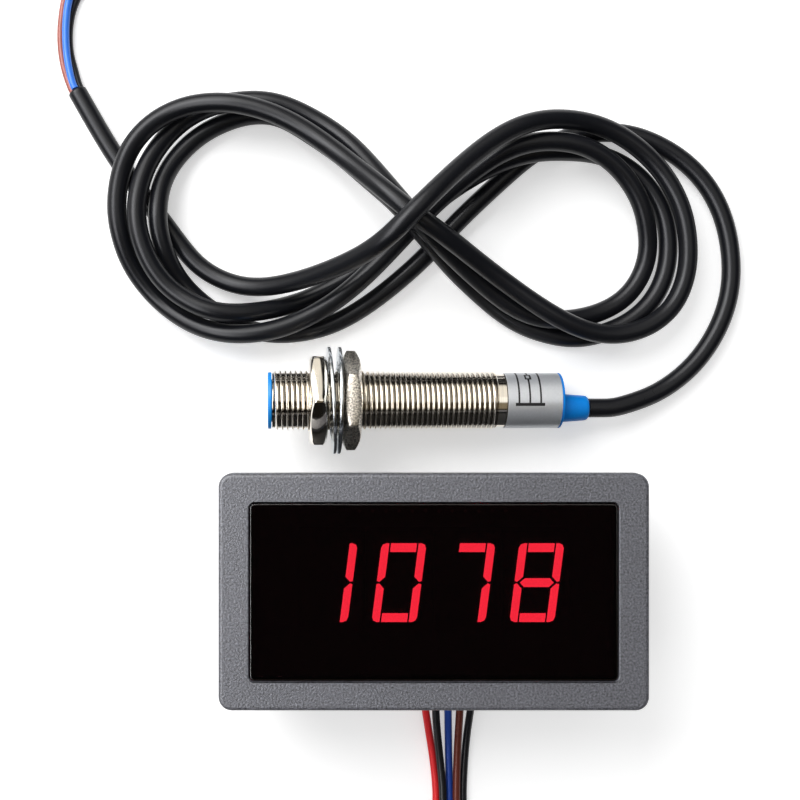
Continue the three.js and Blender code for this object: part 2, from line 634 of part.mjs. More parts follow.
// Digits: a module on the display board and, on its face, a film with the lit strokes standing proud
shownSegments.forEach((letters, index) => {
  const centreX = (index - (shownSegments.length - 1) / 2) * digitPitch;
  const module = block([centreX - digitWidth / 2, digitRise - digitHeight / 2, displayBoardTop + seatGap],
    [centreX + digitWidth / 2, digitRise + digitHeight / 2, digitFaceZ]);
  piece(`digit_module_${index + 1}`, module, finishes.digit);
  const filmX = digitWidth / 2 - digitFilmInset;
  const filmY = digitHeight / 2 - digitFilmInset;
  let film = solid(block([centreX - filmX, digitRise - filmY, filmBaseZ],
    [centreX + filmX, digitRise + filmY, filmTopZ]));
  const strokeBase = filmBaseZ + digitFilmThickness / 2;
  const outlines = strokeOutlines();
  for (const letter of letters) {
    const places = outlines[letter].map(([x, y]) => {
      const leaning = x + y * Math.tan(glyphSlant);
      return new THREE.Vector2(centreX + leaning, digitRise + y);
    });
    film = film.add(solid(slab(new THREE.Shape(places), strokeBase, filmTopZ + segmentRaise)));
  }
  piece(`digit_segments_${index + 1}`, shaped(film), finishes.segment);
});

// Parts on the main board: chips on the side of the display, taller ones on the side of the cover
function chip(name, centreX, centreY, width, depth, low, high, corner, finish) {
  piece(name, slab(roundedRect(width, depth, corner, centreX, centreY), low, high), finish);
}
const chipBase = mainBoardTop + seatGap;
chip('microcontroller', controllerX, controllerY, controllerSize, controllerSize, chipBase,
  chipBase + controllerHeight, chipCorner, finishes.chip);
chip('driver_chip', driverX, driverY, driverWidth, driverDepth, chipBase,
  chipBase + driverHeight, chipCorner, finishes.chip);
chip('regulator', regulatorX, regulatorY, regulatorWidth, regulatorDepth, chipBase,
  chipBase + regulatorHeight, chipCorner, finishes.chip);
const hungTop = mainBoardZ - seatGap;
chip('crystal', crystalX, crystalY, crystalWidth, crystalDepth, hungTop - crystalHeight,
  hungTop, crystalCorner, finishes.steel);
const capacitorProfile = [
  [0, 0], [capacitorRadius, 0], [capacitorRadius, capacitorLength], [0, capacitorLength],
];
piece('capacitor', turned(capacitorProfile, 16)
  .translate(capacitorX - capacitorLength / 2, capacitorY, hungTop - capacitorRadius), finishes.chip);

// Socket under the main board: a box with a well for the plug's nose and five pins in the well
const plugFrontY = plugRearY + plugBodyLength;
const socketFrontY = plugFrontY + turnedGap;
function wirePlaces() {
  return [-2, -1, 0, 1, 2].map((step) => plugX + step * wirePitch);
}
function socket() {
  const wellX = plugNoseWidth / 2 + socketNoseGap;
  const wellZ = plugNoseThickness / 2 + socketNoseGap;
  const wellEnd = plugFrontY + plugNoseLength + turnedGap;
  const boxX = wellX + socketWall;
  const backY = wellEnd + socketFloor;
  let body = solid(block([plugX - boxX, socketFrontY, plugZ - wellZ - socketWall],
    [plugX + boxX, backY, hungTop]));
  body = body.subtract(solid(block([plugX - wellX, socketFrontY - overrun, plugZ - wellZ],
    [plugX + wellX, wellEnd, plugZ + wellZ])));
  for (const x of wirePlaces()) {
    body = body.add(solid(block([x - pinSize / 2, wellEnd - pinLength, plugZ - pinSize / 2],
      [x + pinSize / 2, wellEnd + socketFloor / 2, plugZ + pinSize / 2])));
  }
  return shaped(body);
}
piece('wire_socket', socket(), finishes.plug);

// Plug: a body that fills the slot and a narrower nose with a hole for each pin
function plug() {
  const outline = roundedRect(plugWidth, plugThickness, plugCorner, plugX, -plugZ);
  let result = solid(slab(outline, plugRearY, plugFrontY, 2).rotateX(-Math.PI / 2));
  result = result.add(solid(block(
    [plugX - plugNoseWidth / 2, plugFrontY - overrun, plugZ - plugNoseThickness / 2],
    [plugX + plugNoseWidth / 2, plugFrontY + plugNoseLength, plugZ + plugNoseThickness / 2],
  )));
  const holeStart = plugFrontY + plugNoseLength - pinLength - turnedGap;
  for (const x of wirePlaces()) {
    result = result.subtract(solid(block([x - pinHoleSize / 2, holeStart, plugZ - pinHoleSize / 2],
      [x + pinHoleSize / 2, plugFrontY + plugNoseLength + overrun, plugZ + pinHoleSize / 2])));
  }
  return shaped(result);
}
piece('wire_plug', plug(), finishes.plug);

// The shared coil: each wire keeps its own radius, turns clockwise and climbs in the middle of each turn
class CoilCurve extends THREE.Curve {
  constructor(radius, turns) {
    super();
    this.radius = radius;
    this.turns = turns;
    this.arcLengthDivisions = Math.ceil(200 * turns);
  }

  getPoint(share, target = new THREE.Vector3()) {
    const turn = share * this.turns;
    const whole = Math.floor(turn);
    const climbed = whole + THREE.MathUtils.smoothstep(turn - whole, ...coilClimbShares);
    const angle = -2 * Math.PI * turn;
    return target.set(coilX + this.radius * Math.cos(angle), coilY + this.radius * Math.sin(angle),
      coilFloorZ + coilClimb * climbed);
  }
}

// The part of a curve between two lengths along it
function stretch(whole, from, to) {
  const length = whole.getLength();
  const part = new THREE.Curve();
  part.getPoint = (share, target) => {
    const reached = from + (to - from) * share;
    return whole.getPointAt(Math.min(reached / length, 1), target);
  };
  return part;
}

// An insulated wire whose core stands bare at its end
function strippedWire(whole, diameter, steps, sides) {
  const length = whole.getLength();
  const jacketEnd = length - coreLength;
  const jacket = tube(stretch(whole, 0, jacketEnd), diameter, steps, sides);
  const coreSteps = Math.max(2, Math.round((steps * coreLength) / length));
  const core = tube(stretch(whole, jacketEnd - coreDiameter, length), coreDiameter, coreSteps, coilSides);
  return shaped(solid(jacket).add(solid(core)));
}

// Meter wires: each runs from the plug to the coil, with a straight length at both ends
wireNames.forEach((name, index) => {
  const finish = finishes[name];
  const radius = coilInnerRadius + index * coilSpacing;
  const plugEnd = plugRearY - cordGap;
  const coilEnd = coilY + cordGap;
  const x = wirePlaces()[index];
  const run = new CordCurve([
    [x, plugEnd, plugZ], [x, plugEnd - wireStraight, plugZ],
    ...wireRoutes[index],
    [coilX + radius, coilEnd + wireStraight, coilFloorZ], [coilX + radius, coilEnd, coilFloorZ],
  ]);
  piece(`wire_${name}`, tube(run, wireDiameter, wireSteps, wireSides), finish);
  const turns = (wireLength - run.getLength()) / (2 * Math.PI * radius);
  const coil = new CoilCurve(radius, turns);
  const steps = Math.round(coilStepsPerTurn * turns);
  piece(`wire_${name}_coil`, strippedWire(coil, wireDiameter, steps, coilSides), finish);
  const gap = leastGap(coil, wireDiameter, Math.round(coil.getLength()));
  console.log(`wire_${name}: run ${run.getLength().toFixed(1)} mm, coil ${turns.toFixed(2)} turns, `
    + `least gap to itself ${gap.toFixed(2)} mm`);
});

// Sensor: everything along its own X axis from the front face of the barrel
const sensor = new THREE.Group();
sensor.position.set(sensorX, sensorY, sensorZ);
sensor.rotation.y = sensorTilt;
object.add(sensor);

const labelStart = threadLength + reliefLength;
const barrelProfile = [
  [barrelBore, 0], [barrelRadius - barrelChamfer, 0], [barrelRadius, barrelChamfer],
  [barrelRadius, threadLength], [reliefRadius, threadLength], [reliefRadius, labelStart],
  [labelSeatRadius, labelStart],
  [labelSeatRadius, barrelLength], [barrelBore, barrelLength], [barrelBore, 0],
];
piece('threaded_barrel', turned(barrelProfile, roundSides), finishes.steel, sensor);

const labelProfile = [
  [labelSeatRadius + turnedGap, labelStart + turnedGap], [labelRadius, labelStart + turnedGap],
  [labelRadius, barrelLength],
  [labelSeatRadius + turnedGap, barrelLength], [labelSeatRadius + turnedGap, labelStart + turnedGap],
];
piece('label_sleeve', turned(labelProfile, roundSides), finishes.foil, sensor);

const capProfile = [
  [0, -turnedGap - capThickness], [capRadius, -turnedGap - capThickness], [capRadius, -turnedGap],
  [spigotRadius, -turnedGap], [spigotRadius, spigotLength], [0, spigotLength],
];
piece('sensing_cap', turned(capProfile, roundSides), finishes.blue, sensor);

// Rear cap: a disc with a spigot in the barrel, a tapered boot off its middle and a hole for the lamp
const rearCapStart = barrelLength + turnedGap;
const bootStart = rearCapStart + rearCapThickness;
const bootEnd = bootStart + reliefBootLength;
function rearCap() {
  const spigotStart = barrelLength - spigotLength;
  const disc = turned([
    [0, spigotStart], [spigotRadius, spigotStart], [spigotRadius, rearCapStart],
    [labelRadius, rearCapStart], [labelRadius, bootStart], [0, bootStart],
  ], roundSides);
  const boot = turned([
    [0, rearCapStart], [bootStartRadius, rearCapStart], [bootEndRadius, bootEnd - bootRounding],
    [bootEndRadius - bootRounding / 2, bootEnd - bootRounding / 4], [bootEndRadius - bootRounding, bootEnd],
    [0, bootEnd],
  ], 20).translate(0, -bootOffset, 0);
  const hole = turned([
    [0, spigotStart - overrun], [ledRadius + turnedGap, spigotStart - overrun],
    [ledRadius + turnedGap, bootStart + overrun], [0, bootStart + overrun],
  ], lampSides).translate(0, ledY, 0);
  return shaped(solid(disc).add(solid(boot)).subtract(solid(hole)));
}
piece('rear_cap', rearCap(), finishes.blue, sensor);

const ledEnd = bootStart + ledProud;
piece('indicator_lamp', turned([
  [0, ledEnd - ledLength], [ledRadius, ledEnd - ledLength], [ledRadius, ledEnd - ledRadius / 2],
  [ledRadius / 2, ledEnd - ledRadius / 8], [0, ledEnd],
], lampSides).translate(0, ledY, 0), finishes.segment, sensor);

// Inside the barrel: a board between the two spigots and the sensing element at its front
const boardStart = spigotLength + turnedGap;
piece('sensor_board', block([boardStart, -sensorBoardWidth / 2, -sensorBoardThickness / 2],
  [boardStart + sensorBoardLength, sensorBoardWidth / 2, sensorBoardThickness / 2]), finishes.board, sensor);
const elementBase = sensorBoardThickness / 2 + turnedGap;
piece('sensing_element', block([boardStart, -elementWidth / 2, elementBase],
  [boardStart + elementLength, elementWidth / 2, elementBase + elementHeight]), finishes.chip, sensor);

// Nuts: a hexagon whose corners are turned off on both faces, round a bore
function nut(start, turn) {
  const corner = nutAcrossFlats / Math.sqrt(3);
  const hexagon = new THREE.Shape();
  for (let side = 0; side < 6; side += 1) {
    const angle = (Math.PI / 3) * side;
    const x = corner * Math.cos(angle);
    const y = corner * Math.sin(angle);
    if (side === 0) hexagon.moveTo(x, y);
    else hexagon.lineTo(x, y);
  }
  const prism = slab(hexagon, start, start + nutThickness).rotateY(Math.PI / 2).rotateX(turn);
  const end = start + nutThickness;
  const cone = turned([
    [0, start], [nutFaceRadius, start], [corner, start + nutChamferDepth],
    [corner + overrun, (start + end) / 2], [corner, end - nutChamferDepth], [nutFaceRadius, end], [0, end],
  ], 24);
  const bore = turned([
    [0, start - overrun], [nutBoreRadius, start - overrun],
    [nutBoreRadius, end + overrun], [0, end + overrun],
  ], 24);
  return shaped(solid(prism).intersect(solid(cone)).subtract(solid(bore)));
}

// Lock washers: a ring with teeth inside, leaning a little between the nuts
function washer(centre, tilt) {
  const outline = new THREE.Shape();
  outline.absarc(0, 0, washerRadius, 0, 2 * Math.PI);
  const inside = new THREE.Path();
  for (let tooth = 0; tooth < washerTeeth; tooth += 1) {
    const pitch = (2 * Math.PI) / washerTeeth;
    const start = tooth * pitch;
    const tipAngle = pitch * washerToothShare;
    const places = [[washerRootRadius, start], [washerTipRadius, start + tipAngle / 4],
      [washerTipRadius, start + tipAngle], [washerRootRadius, start + 1.25 * tipAngle]];
    places.forEach(([radius, angle], index) => {
      const x = radius * Math.cos(angle);
      const y = radius * Math.sin(angle);
      if (tooth === 0 && index === 0) inside.moveTo(x, y);
      else inside.lineTo(x, y);
    });
  }
  outline.holes.push(inside);
  return slab(outline, -washerThickness / 2, washerThickness / 2, 16).rotateY(Math.PI / 2).rotateZ(tilt)
    .translate(centre, 0, 0);
}

piece('front_nut', nut(frontNutX, frontNutTurn), finishes.steel, sensor);
piece('front_washer', washer(frontWasherX, frontWasherTilt), finishes.steel, sensor);
piece('rear_washer', washer(rearWasherX, -rearWasherTilt), finishes.steel, sensor);
piece('rear_nut', nut(rearNutX, rearNutTurn), finishes.steel, sensor);

// Sensor cable: it leaves the boot straight and then follows its route
function sensorPlace(along, across) {
  const place = new THREE.Vector3(along, across, 0);
  return place.applyAxisAngle(new THREE.Vector3(0, 1, 0), sensorTilt).add(sensor.position).toArray();
}
const cableStart = bootEnd + cordGap;
const cable = new CordCurve([
  sensorPlace(cableStart, -bootOffset),
  sensorPlace(cableStart + cableStraight, -bootOffset),
  sensorPlace(cableStart + 2 * cableStraight, -bootOffset),
  ...cableRoute,
]);
piece('sensor_cable', tube(cable, cableDiameter, cableSteps, cableSides), finishes.jacket);
console.log(`sensor_cable: length ${cable.getLength().toFixed(0)} mm, `
  + `least gap to itself ${leastGap(cable, cableDiameter, 1400).toFixed(2)} mm`);

// Leads: they leave the end of the jacket side by side, one above the other two
const cableEnd = new THREE.Vector3(...cableRoute.at(-1));
const cableAlong = cableEnd.clone().sub(new THREE.Vector3(...cableRoute.at(-2))).normalize();
const cableAcross = cableAlong.clone().cross(new THREE.Vector3(0, 0, 1)).normalize();
const leadShifts = [[-leadSpread, -leadDrop], [0, leadRise], [leadSpread, -leadDrop]];
function leadPlace(index, along) {
  const [across, up] = leadShifts[index];
  const place = cableEnd.clone().addScaledVector(cableAlong, along).addScaledVector(cableAcross, across);
  return [place.x, place.y, place.z + up];
}
leadNames.forEach((name, index) => {
  const finish = finishes[name];
  const lead = new CordCurve([
    leadPlace(index, cordGap), leadPlace(index, cordGap + leadStraight), ...leadRoutes[index],
  ]);
  piece(`lead_${name}`, strippedWire(lead, leadDiameter, leadSteps, wireSides), finish);
  console.log(`lead_${name}: length ${lead.getLength().toFixed(1)} mm`);
});

export default object;
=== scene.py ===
# %% [markdown]
# # A panel tachometer and its threaded sensor
# The object is a small meter that clips into a panel, with five loose wires on a plug, and a
# separate proximity sensor on a long cable. The CAD model gives every size and place. This
# script loads it as a fixed frame and builds what the eye meets round it: soft edges, real
# threads, stranded wire, and finishes made from shader nodes. All lengths are in metres.

import math

import bmesh
import bpy
import numpy as np
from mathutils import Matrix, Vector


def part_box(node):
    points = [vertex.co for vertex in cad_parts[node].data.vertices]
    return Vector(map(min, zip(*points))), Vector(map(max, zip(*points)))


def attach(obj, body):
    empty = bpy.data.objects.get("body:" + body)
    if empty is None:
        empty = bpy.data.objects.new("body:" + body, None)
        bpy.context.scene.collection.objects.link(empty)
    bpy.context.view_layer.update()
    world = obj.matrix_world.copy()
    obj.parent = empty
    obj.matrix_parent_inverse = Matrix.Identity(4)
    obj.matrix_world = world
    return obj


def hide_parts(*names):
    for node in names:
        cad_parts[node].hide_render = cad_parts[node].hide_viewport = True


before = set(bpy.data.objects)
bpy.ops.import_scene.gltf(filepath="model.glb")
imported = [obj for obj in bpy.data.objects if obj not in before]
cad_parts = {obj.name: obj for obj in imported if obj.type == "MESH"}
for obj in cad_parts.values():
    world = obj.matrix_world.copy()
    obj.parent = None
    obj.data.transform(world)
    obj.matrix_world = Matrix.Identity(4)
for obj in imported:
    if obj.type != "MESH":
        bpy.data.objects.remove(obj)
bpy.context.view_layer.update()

# %% [markdown]
# ## The camera
# The photograph looks straight down on the things as they lie. A camera without rotation in
# Blender looks down its own -Z with +Y up, so only its place and lens have to be set. It stands
# close, 24 cm above the floor: that is why the coil of cable looks larger on top than below.

# %% Camera
camera = bpy.data.objects.new("camera", bpy.data.cameras.new("camera"))
bpy.context.scene.collection.objects.link(camera)
camera.location = (-0.0062, 0.0352, 0.240)
camera.data.sensor_width = 36
camera.data.lens = 52.9
camera.data.clip_start = 0.01
bpy.context.scene.camera = camera
print("camera field of view:", round(math.degrees(camera.data.angle), 1), "degrees")

# %% [markdown]
# ## How the pieces are made
# Almost every piece here is a row of rings joined by quads: a frame, a tube, a nut or a thread is
# the same mesh with other rings. So one helper joins rings, and one turns the result into an
# object that rides on a body of the CAD model. Normals are smooth, apart from edges that turn
# by more than a given angle, which is how a moulded edge and a cut edge differ.

# %% Join rings and place a piece
CREASE = math.radians(38)


def loft(rings, closed_rings=True, joined=False, capped=False):
    """Vertices and faces of a row of rings with the same number of points each."""
    rings = np.asarray(rings, float)
    count, size = rings.shape[:2]
    faces = []
    for row in range(count if joined else count - 1):
        after = (row + 1) % count
        for at in range(size if closed_rings else size - 1):
            beside = (at + 1) % size
            faces.append((row * size + at, row * size + beside,
                          after * size + beside, after * size + at))
    if capped:
        faces.append(tuple(reversed(range(size))))
        faces.append(tuple(range((count - 1) * size, count * size)))
    return rings.reshape(-1, 3), faces


def combined(parts):
    """Several meshes as one."""
    vertices, faces, start = [], [], 0
    for points, polygons in parts:
        vertices.append(points)
        faces += [tuple(index + start for index in polygon) for polygon in polygons]
        start += len(points)
    return np.concatenate(vertices), faces


def piece(name, form, finish, body="meter_and_sensor", stands_for=()):
    """A mesh object from vertices and faces, on its body and in place of its CAD nodes."""
    vertices, faces = form
    mesh = bpy.data.meshes.new(name)
    mesh.from_pydata(np.asarray(vertices, float).tolist(), [], faces)
    mesh.polygons.foreach_set("use_smooth", [True] * len(faces))
    mesh.set_sharp_from_angle(angle=CREASE)
    made = bpy.data.objects.new(name, mesh)
    bpy.context.scene.collection.objects.link(made)
    made.data.materials.append(finish)
    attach(made, body)
    if stands_for:
        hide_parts(*stands_for)
    return made


def refinished(made, faces, finish):
    """A second finish on some of a piece's faces."""
    made.data.materials.append(finish)
    for face in faces:
        face.material_index = 1


def rounded_size(thing):
    """A piece's measures, short enough to print."""
    return np.round(thing.dimensions, 4).tolist()


square = np.array([(0, 0, 0), (1, 0, 0), (1, 1, 0), (0, 1, 0)])
print("faces of a box from two rings:", len(loft([square, square + (0, 0, 1)], capped=True)[1]))

# %% [markdown]
# ## Smooth cords
# A cord bends like a spring rod, without corners. A uniform cubic B-spline along the listed
# points has that smooth bend, and it is the curve that the CAD solids follow, so both lie in
# the same place. Written out here, it gives plain samples for tubes, lengths and coils alike.

# %% Splines and lengths
def unit(vectors):
    """Vectors of length one in the same directions."""
    return vectors / np.linalg.norm(vectors, axis=-1, keepdims=True)


def spline(points, steps=8):
    """Samples of the B-spline that starts on the first point and ends on the last."""
    points = np.asarray(points, float)
    points = np.vstack([2 * points[0] - points[1], points, 2 * points[-1] - points[-2]])
    t = np.linspace(0, 1, steps, endpoint=False)[:, None]
    weights = ((1 - t) ** 3, 3 * t**3 - 6 * t**2 + 4, -3 * t**3 + 3 * t**2 + 3 * t + 1, t**3)
    spans = [sum(w * points[i + k] for k, w in enumerate(weights)) / 6
             for i in range(len(points) - 3)]
    return np.vstack([*spans, points[-3:].T @ np.array([1, 4, 1]) / 6])


def reach_along(path):
    """How far along a path each of its points lies."""
    return np.concatenate([[0], np.cumsum(np.linalg.norm(np.diff(path, axis=0), axis=1))])


def path_length(path):
    """How long a path is."""
    return float(reach_along(path)[-1])


def along(path, start, end, spacing):
    """The stretch of a path between two lengths, with points as close as the spacing."""
    reach = reach_along(path)
    places = np.linspace(start, end, max(2, math.ceil((end - start) / spacing) + 1))
    return np.stack([np.interp(places, reach, path[:, axis]) for axis in range(3)], 1)


print("a spline between points 1 m apart:", path_length(spline([(0, 0, 0), (1, 0, 0)])), "m")

# %% [markdown]
# ## Tubes along a path
# A jacket, a strand and a chip's leg are all tubes: a ring carried along a path. Each ring
# turns only as much as the path does, which keeps the surface from twisting. A jacket
# that was cut has a small round edge at its end, so its last rings come closer and narrower.

# %% Tubes
def carried_frames(path):
    """For each point of a path two directions across it, which turn no more than the path does."""
    heading = unit(np.gradient(path, axis=0))
    side = np.cross(heading[0], (0, 0, 1) if abs(heading[0][2]) < 0.9 else (1, 0, 0))
    sides = []
    for direction in heading:
        side = unit(side - direction * (side @ direction))
        sides.append(side)
    sides = np.array(sides)
    return sides, np.cross(heading, sides)


def tube(path, radii, sides=16):
    """A capped tube along a path, whose radius may change from point to point."""
    path = np.asarray(path, float)
    across, up = carried_frames(path)
    radii = np.broadcast_to(radii, len(path))
    turn = np.linspace(0, 2 * math.pi, sides, endpoint=False)
    rings = [centre + radius * (np.outer(np.cos(turn), a) + np.outer(np.sin(turn), b))
             for centre, radius, a, b in zip(path, radii, across, up)]
    return loft(rings, capped=True)


def with_cut_end(path, radius, rounding):
    """A path and its radii, with a small round edge at the far end as a cut jacket has."""
    direction = unit(path[-1] - path[-2])
    end = path[-1] - direction * rounding
    turns = np.linspace(0, math.pi / 2, 4)
    tail = [end + direction * rounding * math.sin(turn) for turn in turns]
    radii = [radius] * (len(path) - 1) + [radius - rounding * (1 - math.cos(turn)) for turn in turns]
    return np.vstack([path[:-1], tail]), radii


print("faces of a tube of two rings:", len(tube([(0, 0, 0), (0, 0, 1)], 1)[1]))

# %% [markdown]
# ## Building materials in code
# A material is a small graph of nodes. A few helpers keep the graphs readable. The first gives a
# row of sockets their values, where a value may be another node's output, and the others use it
# to add a node, to start a material with its Principled shader, and to build and place a shared
# group. Colours are written as they look on a screen, from 0 to 255, and turned into the
# linear values that the shader works in.

# %% Nodes, materials and groups
def paint(red, green, blue):
    """A screen colour as the shader's linear one."""
    shares = [value / 255 for value in (red, green, blue)]
    return (*[s / 12.92 if s <= 0.04045 else ((s + 0.055) / 1.055) ** 2.4 for s in shares], 1)


def fed(tree, sockets, values):
    """Gives sockets their values, or links where a value is another node's output."""
    for name, value in values.items():
        socket = sockets[name.replace("_", " ") if isinstance(name, str) else name]
        if isinstance(value, bpy.types.NodeSocket):
            tree.links.new(value, socket)
        else:
            socket.default_value = value


def add(tree, kind, inputs=None, **settings):
    """A new node, with settings, and inputs by name or number."""
    node = tree.nodes.new(kind)
    for name, value in settings.items():
        setattr(node, name, value)
    fed(tree, node.inputs, inputs or {})
    return node


def material(name, **values):
    """A material with its Principled shader, and that shader's plain values."""
    made = bpy.data.materials.new(name)
    made.use_nodes = True
    shader = made.node_tree.nodes["Principled BSDF"]
    fed(made.node_tree, shader.inputs, values)
    return made, made.node_tree, shader


def group(name, inputs, outputs):
    """An empty node group with its sockets, and its input and output nodes."""
    tree = bpy.data.node_groups.new(name, "ShaderNodeTree")
    kinds = {"color": "NodeSocketColor", "value": "NodeSocketFloat"}
    for direction, sockets in (("INPUT", inputs), ("OUTPUT", outputs)):
        for socket, kind in sockets.items():
            tree.interface.new_socket(socket, in_out=direction, socket_type=kinds[kind])
    return tree, add(tree, "NodeGroupInput").outputs, add(tree, "NodeGroupOutput").inputs


def placed(tree, shared, **inputs):
    """A shared group placed in a material."""
    return add(tree, "ShaderNodeGroup", inputs, node_tree=shared).outputs


print("a middle grey in linear light:", round(paint(128, 128, 128)[0], 3))

# %% [markdown]
# ## Sums between nodes
# Most patterns here are masks: numbers between 0 and 1 over the surface, worked out from where a
# point lies. A mask is the product of others where all of them have to hold, and the largest of
# them where one is enough. Each of these helpers is one node or two, so a pattern reads like a sum.

# %% Sums, masks and blends
def calculated(tree, operation, first, second=0.5, third=0.5):
    """The result of a Math node."""
    inputs = dict(enumerate((first, second, third)))
    return add(tree, "ShaderNodeMath", inputs, operation=operation).outputs[0]


def eased(tree, value, start, end):
    """A soft step from 0 to 1 between two values."""
    inputs = {"Value": value, "From Min": start, "From Max": end}
    return add(tree, "ShaderNodeMapRange", inputs, interpolation_type="SMOOTHSTEP").outputs[0]


def all_of(tree, mask, *others):
    """Where every mask holds."""
    for other in others:
        mask = calculated(tree, "MULTIPLY", mask, other)
    return mask


def any_of(tree, mask, *others):
    """Where at least one mask holds."""
    for other in others:
        mask = calculated(tree, "MAXIMUM", mask, other)
    return mask


def blended(tree, mask, first, second):
    """Two colours, the second one where the mask holds."""
    factor, color_a, color_b, mixed = 0, 6, 7, 2
    inputs = {factor: mask, color_a: first, color_b: second}
    return add(tree, "ShaderNodeMix", inputs, data_type="RGBA").outputs[mixed]


def overlaid(made, mask, color):
    """Another colour over a material's own, where a mask holds."""
    tree = made.node_tree
    base = tree.nodes["Principled BSDF"].inputs["Base Color"]
    tree.links.new(blended(tree, mask, base.links[0].from_socket, color), base)


def object_point(tree):
    """Where a point lies on its object."""
    return add(tree, "ShaderNodeTexCoord").outputs["Object"]


def separated(tree, vector):
    """The X, Y and Z of a vector."""
    return add(tree, "ShaderNodeSeparateXYZ", {0: vector}).outputs


def noise(tree, where, scale, detail, roughness=0.5):
    """A cloudy pattern round one half."""
    inputs = {"Vector": where, "Scale": scale, "Detail": detail, "Roughness": roughness}
    return add(tree, "ShaderNodeTexNoise", inputs).outputs["Fac"]


def shaded(tree, color, level):
    """A colour made lighter or darker by a level round one."""
    return add(tree, "ShaderNodeVectorMath", {0: color, "Scale": level}, operation="SCALE").outputs[0]


def bumped(tree, height, distance, strength):
    """Normals that follow a height."""
    inputs = {"Height": height, "Distance": distance, "Strength": strength}
    return add(tree, "ShaderNodeBump", inputs).outputs[0]


# %% [markdown]
# ## Two effects that most finishes share
# Moulded plastic is never one colour: a spark-eroded mould leaves a fine grain, and pigment
# and handling leave slow changes over it. One noise per scale gives both, and a
# group lets each material choose how strong they are. The second group varies gloss in
# the same way, as fingers and dust do.

# %% Grain and gloss groups
grain, given, result = group(
    "moulded_grain",
    {"Color": "color", "Spread": "value", "Scale": "value", "Mottle": "value"},
    {"Color": "color", "Height": "value"})
where = object_point(grain)
fine = noise(grain, where, given["Scale"], 2.0)
broad = noise(grain, where, 90.0, 3.0)
fine_swing = calculated(grain, "MULTIPLY_ADD", fine, 2.0, -1.0)
broad_swing = calculated(grain, "MULTIPLY_ADD", broad, 2.0, -1.0)
swing = calculated(grain, "ADD", calculated(grain, "MULTIPLY", fine_swing, given["Spread"]),
                   calculated(grain, "MULTIPLY", broad_swing, given["Mottle"]))
level = calculated(grain, "ADD", swing, 1.0)
fed(grain, result, {"Color": shaded(grain, given["Color"], level), "Height": fine})

gloss, given, result = group(
    "handled_gloss", {"Roughness": "value", "Change": "value", "Scale": "value"},
    {"Roughness": "value"})
patches = noise(gloss, object_point(gloss), given["Scale"], 5.0, 0.6)
swing = calculated(gloss, "SUBTRACT", patches, 0.5)
varied = add(gloss, "ShaderNodeMath", {0: swing, 1: given["Change"], 2: given["Roughness"]},
             operation="MULTIPLY_ADD", use_clamp=True)
fed(gloss, result, {"Roughness": varied.outputs[0]})
print("shared groups:", [tree.name for tree in bpy.data.node_groups])

# %% [markdown]
# ## A finish with grain
# Both groups go into one function, because every moulded or cast surface of the meter and the
# sensor takes them in the same way: grain in the colour and, much finer, in the height, and
# a gloss that changes from place to place. Only the values differ.

# %% Grained finishes
def handled(tree, roughness, change, scale):
    """A roughness that varies over the surface."""
    return placed(tree, gloss, Roughness=roughness, Change=change, Scale=scale)["Roughness"]


def grained(name, color, roughness, spread=0.12, scale=2600.0, mottle=0.05, relief=0.00002,
            change=0.12, **values):
    """A finish with grain in its colour and surface, and gloss that varies."""
    made, tree, shader = material(name, **values)
    look = placed(tree, grain, Color=color, Spread=spread, Scale=scale, Mottle=mottle)
    fed(tree, shader.inputs, {"Base Color": look["Color"],
                              "Roughness": handled(tree, roughness, change, 150.0),
                              "Normal": bumped(tree, look["Height"], relief, 0.8)})
    return made

# %% [markdown]
# ## The sensor cable
# The cable is just over a metre of black jacketed cord, wound for the shop shelf into a flat
# figure of eight. It leaves the sensor's boot straight, goes three and a half times
# round both loops and climbs over itself at the crossing. The points below are the route's,
# the same as the CAD solid's. A satin black with little grain keeps the long highlights.

